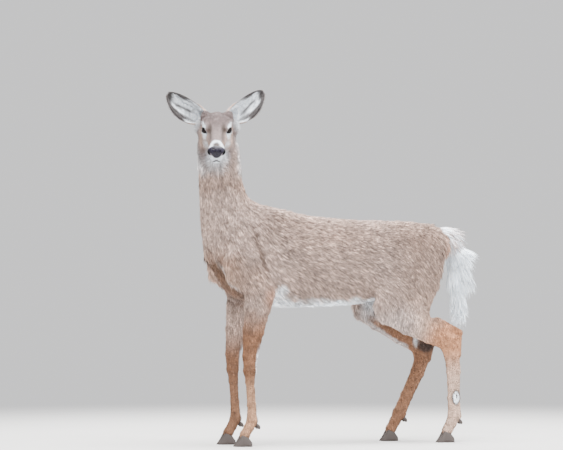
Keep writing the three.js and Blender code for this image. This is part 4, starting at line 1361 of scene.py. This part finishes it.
class DeerColours(bpy.types.PropertyGroup):
    grey: tone_property("Grey", "Winter coat of the neck and flanks", (0.43, 0.32, 0.275))
    brown: tone_property("Brown", "Back, rump and nape", (0.29, 0.185, 0.135))
    tan: tone_property("Tan", "Legs and brisket", (0.42, 0.24, 0.145))
    white: tone_property("White", "Belly, tail, throat and rings round the eyes", (0.86, 0.92, 0.98))
    dark: tone_property("Dark", "Ear rims, glands and the line of the mouth", (0.030, 0.020, 0.018))
    rufous: tone_property("Rufous", "Hocks and the edge of the rump", (0.42, 0.165, 0.06))


class DeerSkin(bpy.types.PropertyGroup):
    cell: FloatProperty(name="Cell", description="Side of a face of the skin", default=8.0, min=4.0, max=20.0)


class DeerCoat(bpy.types.PropertyGroup):
    thickness: FloatProperty(name="Thickness", description="Share of the full number of tufts", default=1.0,
                             min=0.05, max=1.2)
    clump: FloatProperty(name="Clump", description="How far tufts gather into locks", default=0.75, min=0.0, max=2.0)
    curl: FloatProperty(name="Curl", description="How far a tuft bends back, as a share of its length",
                        default=0.16, min=0.0, max=1.0)
    seed: IntProperty(name="Seed", description="Seed of the scatter", default=7, min=0)


class DeerStage(bpy.types.PropertyGroup):
    floor: FloatProperty(name="Floor", description="Radius of the floor", default=3.6, unit="LENGTH")
    key: FloatProperty(name="Key", description="Power of the main light", default=700.0, unit="POWER")
    fill: FloatProperty(name="Fill", description="Power of the light from the other side", default=330.0, unit="POWER")
    top: FloatProperty(name="Top", description="Power of the light overhead", default=1500.0, unit="POWER")


class DEER_OT_skin(bpy.types.Operator):
    """Build the skin in one piece, with its lids, mouth and markings"""
    bl_idname = "deer.skin"
    bl_label = "Skin"

    def execute(self, context):
        mesh, points = build_skin(context.scene.deer_skin)
        dress_skin(mesh, points)
        skin = object_from("skin", mesh, found_or_made("under_fur", skin_material))
        finish_piece(skin, "coat_body", *FLESH_NODES)
        return {"FINISHED"}


class DEER_OT_coat(bpy.types.Operator):
    """Grow the coat over the skin, in one piece for each part of the body"""
    bl_idname = "deer.coat"
    bl_label = "Coat"

    def execute(self, context):
        coat = context.scene.deer_coat
        material = found_or_made("hair", coat_material)
        skin = bpy.data.objects["skin"]
        share = coat.thickness * 1.0
        for region, (name, density) in enumerate(COAT_REGIONS):
            is_tail = name == "coat_tail"
            piece = grow(name, skin, {
                "Region": region, "Density": density * share, "Clump": coat.clump * (0.6 if region == 0 else 1.0),
                "Curl": 0.2 if is_tail else coat.curl, "Segments": 4 if is_tail else 2,
                "Seed": coat.seed + region, "Material": material,
            })
            tip = tones()["rufous"] if is_tail else None
            p, local = tint_tufts(piece.data, 0.35 if is_tail else 0.7 if region == 0 else 1.0,
                                  0.95 if is_tail else 0.8 if region == 0 else 0.5, tip)
            bake_map(piece.data, *unwrapped(region, p), local)
            clean(piece.data)
            slot = "coat_leg" if "leg" in name else "coat_white" if is_tail else "coat_body"
            finish_piece(piece, slot)
            print("coat", name, len(piece.data.polygons))
        return {"FINISHED"}


# ---- Eyes and nose -------------------------------------------------------------------------------------------------------


def build_eye(side):
    """An eyeball with a slightly fuller front, in the animal's frame."""
    rings, sectors = 24, 36
    mirror = np.array([1, -side, 1])
    axes = (EYE_AXES * mirror) @ HEAD_AXES
    centre = from_head(EYE_CENTRE * mirror)
    polar = np.linspace(0, math.pi, rings + 1)[1:-1]
    turn = np.linspace(0, 2 * math.pi, sectors, endpoint=False)
    local = [(0, 0, 1.0)]
    for t in polar:
        local += [(math.sin(t) * math.cos(a), math.sin(t) * math.sin(a), math.cos(t)) for a in turn]
    local.append((0, 0, -1.0))
    local = np.array(local)
    bulge = 1 + 0.045 * rise(local[:, 2], 0.75, 1.0)
    points = centre + (local * (EYE_RADIUS - 0.15) * bulge[:, None]) @ axes
    faces = [(0, 1 + k, 1 + (k + 1) % sectors) for k in range(sectors)]
    for r in range(len(polar) - 1):
        a = 1 + r * sectors
        faces += [(a + k, a + k + sectors, a + (k + 1) % sectors + sectors, a + (k + 1) % sectors)
                  for k in range(sectors)]
    end = len(points) - 1
    a = 1 + (len(polar) - 1) * sectors
    faces += [(end, a + (k + 1) % sectors, a + k) for k in range(sectors)]
    return points, faces


def outward(mesh):
    """Turns every face outwards."""
    work = bmesh.new()
    work.from_mesh(mesh)
    bmesh.ops.recalc_face_normals(work, faces=work.faces)
    work.to_mesh(mesh)
    work.free()
    return mesh


class DEER_OT_eyes(bpy.types.Operator):
    """Build both eyeballs"""
    bl_idname = "deer.eyes"
    bl_label = "Eyes"

    def execute(self, context):
        for name, side in SIDES.items():
            points, faces = build_eye(side)
            mesh = outward(mesh_from(f"eyeball_{name}", placed(points), faces))
            piece = object_from(f"eyeball_{name}", mesh, eye_material(f"eye_{name}", side))
            finish_piece(piece, "eye", f"eye_{name}")
        return {"FINISHED"}


nose_groove = bar((302, 0, 6), (298, 0, -34), (1.3, 2.2), (1.6, 2.4))


def nose_field(q):
    one_side = mirrored(q)
    d = join(nose_tip(q), nose_lobe(one_side), 7)
    d = join(d, nose_philtrum(q), 4) + 0.6
    rim = nostril_hollow(one_side)
    d = d - 1.0 * np.exp(-(((rim - 2.5) / 2.2) ** 2))
    d = cut(d, rim, 2.0)
    return cut(d, nose_groove(q), 2.4)


class DEER_OT_nose(bpy.types.Operator):
    """Build the bare wet nose with its nostrils"""
    bl_idname = "deer.nose"
    bl_label = "Nose"

    def execute(self, context):
        cell = 1.3
        points, faces = surface_of(nose_field, (252, -44, -48), (312, 44, 32), cell)
        mesh = mesh_from("nose_leather", points, faces)
        for _ in range(2):
            points = mix(points, neighbour_mean(points, edges_of(mesh), len(points)), 0.5)
            points = settle(points, nose_field, 2, cell / 2)
        one_side = mirrored(points)
        # painted highlight: a pale crescent on the inner lower rim of each nostril, where the wet rim catches the light
        rim = rise(-np.abs(nostril_hollow(one_side) - 2.0), -1.8, -0.6)
        inner = rise(-one_side[:, 1], -27, -22) * rise(-one_side[:, 2], 2, 8) * rise(one_side[:, 0], 282, 288)
        store(mesh, "crescent", "FLOAT", 0.8 * rim * inner)
        # painted shade: marks the nostril holes to be painted near black
        store(mesh, "hollow", "FLOAT", 1 - rise(nostril_hollow(one_side), 0.2, 1.4))
        set_points(mesh, placed(from_head(points)))
        piece = object_from("nose_leather", outward(mesh), found_or_made("wet_leather", nose_material))
        finish_piece(piece, "nose_skin", "nose")
        return {"FINISHED"}


# ---- Ears ------------------------------------------------------------------------------------------------------------------

EAR_ROWS, EAR_COLUMNS = 54, 40
EAR_SHOWN = 0.965  # share of the length that is leather; hair makes up the rest


def ear_axes(name):
    along = unit(seen_way(*EAR_TIP_WAY[name]))
    open_way = seen_way(*EAR_OPEN_WAY[name])
    open_way = unit(open_way - along * open_way.dot(along))
    return along, open_way, np.cross(open_way, along)


def ear_half_width(t):
    widest = 0.42
    foot = mix(0.56, 1.0, np.sin(np.pi / 2 * np.minimum(t / widest, 1)))
    leaf = np.maximum(1 - ((t - widest) / (1 - widest)) ** 2, 0.0009) ** 0.62
    return EAR_HALF_WIDTH * np.where(t < widest, foot, leaf)


def ear_points(name, t, column, inner_side):
    """Points of the ear: t from foot to tip, column from -1 to 1 across, on the hollow or the outer side."""
    side = SIDES[name]
    along, open_way, across = ear_axes(name)
    foot = from_head((EAR_FOOT[0], -side * EAR_FOOT[1], EAR_FOOT[2]))
    roll = mix(2.3, 0.85, np.minimum(t / 0.55, 1))
    angle = roll * column
    full = ear_half_width(t)
    radius = full / np.sin(np.minimum(roll, np.pi / 2))
    thick = mix(7.0, 4.0, t)
    ridge = 1.3 * np.cos(column * 5 * np.pi) * rise(t, 0.06, 0.3) * rise(-t, -0.9, -0.6) * (1 - column**2)
    edge = rise(np.abs(column), 0.88, 1.0)
    drawn = np.where(inner_side, thick - 1.6 - ridge, 1.6)
    drawn = mix(drawn, thick / 2, edge)
    inner = np.maximum(radius - np.minimum(drawn, radius * 0.8), 0.5)
    sway = side * EAR_SWAY * np.sin(np.pi * t)
    return (
        foot + along * (t * EAR_LENGTH)[:, None] + across * (inner * np.sin(angle) + sway)[:, None]
        + open_way * (radius * np.cos(roll) - inner * np.cos(angle) + 10 * t * t)[:, None]
    )


def ear_tone(name, t, column, inner_side, tone):
    """Pale hair in the hollow with a dark streak and rim, grey-brown outside with a dark tip."""
    outer_edge = column * SIDES[name]  # towards 1 at the edge away from the crown
    colour = np.where(inner_side[:, None], mix(tone["white"], tone["grey"], 0.12), mix(tone["grey"], tone["brown"], 0.5))
    bend = 0.12 * np.sin(t * 9 + SIDES[name]) + 0.08
    streak = np.exp(-(((outer_edge - bend) / 0.13) ** 2)) * rise(t, 0.25, 0.42) * rise(-t, -0.82, -0.66)
    streak += 0.8 * spot(np.stack([t, outer_edge], -1), (0.3, 0.55), (0.16, 0.16), 0.5)
    colour = paint(colour, tone["dark"] + 0.01, 0.9 * np.minimum(streak, 1) * inner_side)
    rim = rise(outer_edge, 0.5, 0.7) * rise(t, 0.2, 0.4) + rise(-outer_edge, 0.8, 0.92) * rise(t, 0.35, 0.6)
    tip = rise(t + 0.06 * outer_edge, 0.76, 0.88)
    colour = paint(colour, tone["dark"], np.maximum(rim, tip) * np.where(inner_side, 0.95, 0.75))
    base = rise(-t, -0.3, -0.1)
    return paint(colour, mix(tone["rufous"], tone["white"], 0.4), 0.6 * base * ~inner_side)


def build_ear(name):
    tone = tones()
    rows = 1 - (1 - np.linspace(0, 1, EAR_ROWS + 1)) ** 1.4
    columns = np.linspace(-1, 1, EAR_COLUMNS + 1)
    t, column = (g.ravel() for g in np.meshgrid(rows * EAR_SHOWN, columns, indexing="ij"))
    layers = []
    for inner_side in (False, True):
        hollow = np.full(len(t), inner_side)
        layers.append((ear_points(name, t, column, hollow), ear_tone(name, t, column, hollow, tone)))
    points = np.concatenate([layer[0] for layer in layers])
    colour = np.concatenate([layer[1] for layer in layers])
    wide, size = EAR_COLUMNS + 1, len(t)
    faces = []
    for i, j in itertools.product(range(EAR_ROWS), range(EAR_COLUMNS)):
        a = i * wide + j
        faces.append((a, a + 1, a + wide + 1, a + wide))
        faces.append((size + a, size + a + wide, size + a + wide + 1, size + a + 1))
    for i in range(EAR_ROWS):
        a, b = i * wide, i * wide + EAR_COLUMNS
        faces.append((a, a + wide, size + a + wide, size + a))
        faces.append((b, size + b, size + b + wide, b + wide))
    for j in range(EAR_COLUMNS):
        a, b = j, EAR_ROWS * wide + j
        faces.append((a, size + a, size + a + 1, a + 1))
        faces.append((b, b + 1, size + b + 1, size + b))
    return points, faces, colour, np.tile(t, 2), np.tile(column, 2), np.repeat([False, True], size)


def dress_ear(name, mesh, t, column, hollow):
    """The lie and length of the hair: short outside, long and drawn over the hollow from its edges."""
    along, open_way, across = ear_axes(name)
    normals = np.empty(len(t) * 3)
    mesh.vertex_normals.foreach_get("vector", normals)
    normals = normals.reshape(-1, 3)
    lay = np.tile(along, (len(t), 1))
    inward = -column * rise(np.abs(column), 0.2, 0.7)
    lay = np.where(hollow[:, None], lay + across * (0.9 * inward)[:, None], lay + across * (0.25 * column)[:, None])
    lay = unit(lay - normals * (lay * normals).sum(-1)[:, None])
    edge = rise(np.abs(column), 0.35, 0.8)
    long_hair = mix(9.0, 20.0, edge * rise(-t, -0.85, -0.6))
    length = np.where(hollow, long_hair, mix(12.0, 7.0, rise(t, 0.1, 0.5))) * mix(0.4, 1.0, rise(t, 0.04, 0.25))
    store(mesh, "lay", "FLOAT_VECTOR", lay)
    store(mesh, "coat_length", "FLOAT", length * MM)
    store(mesh, "coat_width", "FLOAT", np.full(len(t), 1.1) * MM)
    store(mesh, "coat_lift", "FLOAT", np.where(hollow, 0.34, 0.2))
    store(mesh, "coat_density", "FLOAT", 1.0 - hollow * (t < 0.1))
    store(mesh, "region", "INT", np.zeros(len(mesh.polygons)), "FACE")


class DEER_OT_ears(bpy.types.Operator):
    """Build both ears and the hair on them"""
    bl_idname = "deer.ears"
    bl_label = "Ears"

    def execute(self, context):
        coat = context.scene.deer_coat
        for name in SIDES:
            points, faces, colour, t, column, hollow = build_ear(name)
            mesh = mesh_from(f"ear_leather_{name}", placed(points), faces)
            dress_ear(name, mesh, t, column, hollow)
            store(mesh, "tone", "FLOAT_COLOR", np.concatenate([colour, np.ones((len(t), 1))], 1))
            store(mesh, "coat_u", "FLOAT", column + 2.2 * hollow)
            store(mesh, "coat_v", "FLOAT", t)
            ear = object_from(f"ear_leather_{name}", mesh, found_or_made("under_fur", skin_material))
            hair = grow(f"ear_hair_{name}", ear, {
                "Region": 0, "Density": 380000.0 * 1.0, "Clump": 0.5, "Curl": 0.1,
                "Segments": 2, "Seed": coat.seed + 20, "Material": found_or_made("hair", coat_material),
            })
            p, local = tint_tufts(hair.data, 0.7, 0.75)
            bake_map(hair.data, read(hair.data, "coat_u"), read(hair.data, "coat_v"), local)
            clean(hair.data)
            clean(mesh)
            finish_piece(ear, "coat_ear", f"ear_{name}")
            finish_piece(hair, "coat_ear")
            print("ear", name, len(hair.data.polygons))
        return {"FINISHED"}


# ---- Feet --------------------------------------------------------------------------------------------------------------------


def build_claw(coronet, side):
    """One claw of a hoof: flat sole, wall sloping from the toe up to the hairline."""
    rows, columns = 28, 20
    share, tall, wide = (curve_through([r[0] for r in CLAW], [r[k] for r in CLAW]) for k in (0, 1, 2))
    points, faces = [], []
    heel = coronet[0] + HOOF_LENGTH * 0.34
    for t in np.linspace(0, 1, rows):
        half = CLAW_HALF_WIDTH * float(wide(t))
        inward = side * max(t - 0.5, 0) * 5
        x = heel - t * HOOF_LENGTH
        for j in range(columns + 1):
            angle = math.pi * j / columns
            y = coronet[1] + side * CLAW_SPREAD - inward - half * math.cos(angle)
            z = HOOF_HEIGHT * float(tall(t)) * math.sin(angle) ** 0.75
            points.append((x, y, min(z, HAIRLINE - 0.5 - HAIRLINE_SLOPE * (x - coronet[0]))))
    wide_row = columns + 1
    for i, j in itertools.product(range(rows - 1), range(columns)):
        a = i * wide_row + j
        faces.append((a, a + 1, a + wide_row + 1, a + wide_row))
    for i in range(rows - 1):
        a = i * wide_row
        faces.append((a, a + wide_row, a + wide_row + columns, a + columns))
    faces.append(tuple(range(columns + 1)))
    last = (rows - 1) * wide_row
    faces.append(tuple(range(last + columns, last - 1, -1)))
    return points, faces


def build_dewclaw(fetlock, side):
    """A blunt horn cone behind the fetlock, leaning down and back."""
    rings, sectors = 12, 14
    lean = math.radians(-35)
    centre = np.array([fetlock[0] + 20, fetlock[1] + side * 11, fetlock[2] - 24])
    points, faces = [(0, 0, 1.0)], []
    for r in range(1, rings):
        t = math.pi * r / rings
        points += [(math.sin(t) * math.cos(a), math.sin(t) * math.sin(a), math.cos(t))
                   for a in np.linspace(0, 2 * math.pi, sectors, endpoint=False)]
    points.append((0, 0, -1.0))
    local = np.array(points) * (7, 6, 12)
    turn = np.array([[math.cos(lean), 0, math.sin(lean)], [0, 1, 0], [-math.sin(lean), 0, math.cos(lean)]])
    faces += [(0, 1 + k, 1 + (k + 1) % sectors) for k in range(sectors)]
    for r in range(rings - 2):
        a = 1 + r * sectors
        faces += [(a + k, a + k + sectors, a + (k + 1) % sectors + sectors, a + (k + 1) % sectors)
                  for k in range(sectors)]
    end = len(points) - 1
    a = 1 + (rings - 2) * sectors
    faces += [(end, a + (k + 1) % sectors, a + k) for k in range(sectors)]
    return centre + local @ turn.T, faces


class DEER_OT_feet(bpy.types.Operator):
    """Build the claws of the hooves and the dewclaws"""
    bl_idname = "deer.feet"
    bl_label = "Feet"

    def execute(self, context):
        horn = found_or_made("horn", horn_material)
        for leg, (side, rows) in LEGS.items():
            at = [(x, side * y, z) for (x, y, z), _ in rows]
            for which, claw_side in SIDES.items():
                for kind, made in (("hoof", build_claw(at[-1], claw_side)), ("dewclaw", build_dewclaw(at[-3], claw_side))):
                    mesh = outward(mesh_from(f"{leg}_{kind}_{which}_horn", placed(made[0]), made[1]))
                    piece = object_from(mesh.name, mesh, horn)
                    finish_piece(piece, "horn", f"{leg}_{kind}_{which}")
        return {"FINISHED"}


# ---- Stage -----------------------------------------------------------------------------------------------------------------------

CAMERA_AZIMUTH, CAMERA_ELEVATION, CAMERA_DISTANCE = math.radians(-22), math.radians(1.5), 30.0
CAMERA_TARGET = (216.7, -87.5, 839.8)
CAMERA_LENS, SENSOR = 505.0, 36.0


def aim(thing, target):
    way = np.array(target) - np.array(thing.location)
    from mathutils import Vector
    thing.rotation_euler = Vector(way).to_track_quat("-Z", "Y").to_euler()


def area_light(name, place, size, power, target, colour=(1, 1, 1)):
    light = bpy.data.lights.new(name, "AREA")
    light.shape, light.size, light.energy, light.color = "DISK", size, power, colour
    made = bpy.data.objects.new(name, light)
    made.location = place
    bpy.context.scene.collection.objects.link(made)
    aim(made, target)


class DEER_OT_stage(bpy.types.Operator):
    """Set the camera, the lights and the floor"""
    bl_idname = "deer.stage"
    bl_label = "Stage"

    def execute(self, context):
        stage = context.scene.deer_stage
        target = placed(CAMERA_TARGET)
        a, e = CAMERA_AZIMUTH, CAMERA_ELEVATION
        back = np.array([math.sin(a) * math.cos(e), -math.cos(a) * math.cos(e), math.sin(e)])
        camera = bpy.data.objects.new("camera", bpy.data.cameras.new("camera"))
        camera.data.lens, camera.data.sensor_width = CAMERA_LENS, SENSOR
        camera.data.clip_start, camera.data.clip_end = 1.0, 100.0
        camera.location = target + back * CAMERA_DISTANCE
        context.scene.collection.objects.link(camera)
        aim(camera, target)
        context.scene.camera = camera
        area_light("key", (-3.0, -5.0, 5.5), 4.0, stage.key, (0, 0, 0.7), (1.0, 0.985, 0.965))
        area_light("fill", (4.5, -4.0, 3.0), 5.0, stage.fill, (0, 0, 0.7), (0.95, 0.97, 1.0))
        area_light("rear", (1.0, 5.0, 4.5), 4.0, stage.fill, (0, 0, 0.7))
        area_light("top", (0.3, -0.6, 6.0), 5.0, stage.top, (0, 0, 0.7))
        world = bpy.data.worlds.new("studio")
        world.use_nodes = True
        background = world.node_tree.nodes["Background"]
        background.inputs["Color"].default_value = (0.80, 0.80, 0.81, 1)
        background.inputs["Strength"].default_value = 1.2
        context.scene.world = world
        ring = [(stage.floor * math.cos(t), stage.floor * math.sin(t), 0)
                for t in np.linspace(0, 2 * math.pi, 96, endpoint=False)]
        floor = object_from("floor", mesh_from("floor", ring, [range(96)]), floor_material("floor"), False)
        return {"FINISHED"}


class DEER_PT_panel(bpy.types.Panel):
    """The settings and the steps that build the doe"""
    bl_label = "Deer"
    bl_idname = "DEER_PT_panel"
    bl_space_type = "VIEW_3D"
    bl_region_type = "UI"
    bl_category = "Deer"

    def draw(self, context):
        for group in (context.scene.deer_skin, context.scene.deer_coat, context.scene.deer_colours, context.scene.deer_stage):
            box = self.layout.box()
            for name in group.__annotations__:
                box.prop(group, name)
        for step in STEPS:
            self.layout.operator(step.bl_idname)


STEPS = (DEER_OT_stage, DEER_OT_skin, DEER_OT_eyes, DEER_OT_nose, DEER_OT_ears, DEER_OT_feet, DEER_OT_coat)
GROUPS = {"deer_colours": DeerColours, "deer_skin": DeerSkin, "deer_coat": DeerCoat, "deer_stage": DeerStage}


def register():
    for made in (*GROUPS.values(), *STEPS, DEER_PT_panel):
        bpy.utils.register_class(made)
    for name, group in GROUPS.items():
        setattr(bpy.types.Scene, name, PointerProperty(type=group))


def unregister():
    for name in GROUPS:
        delattr(bpy.types.Scene, name)
    for made in reversed((*GROUPS.values(), *STEPS, DEER_PT_panel)):
        bpy.utils.unregister_class(made)


def main():
    register()
    for step in STEPS:
        group, name = step.bl_idname.split(".")
        getattr(getattr(bpy.ops, group), name)()


if __name__ == "__main__":
    main()
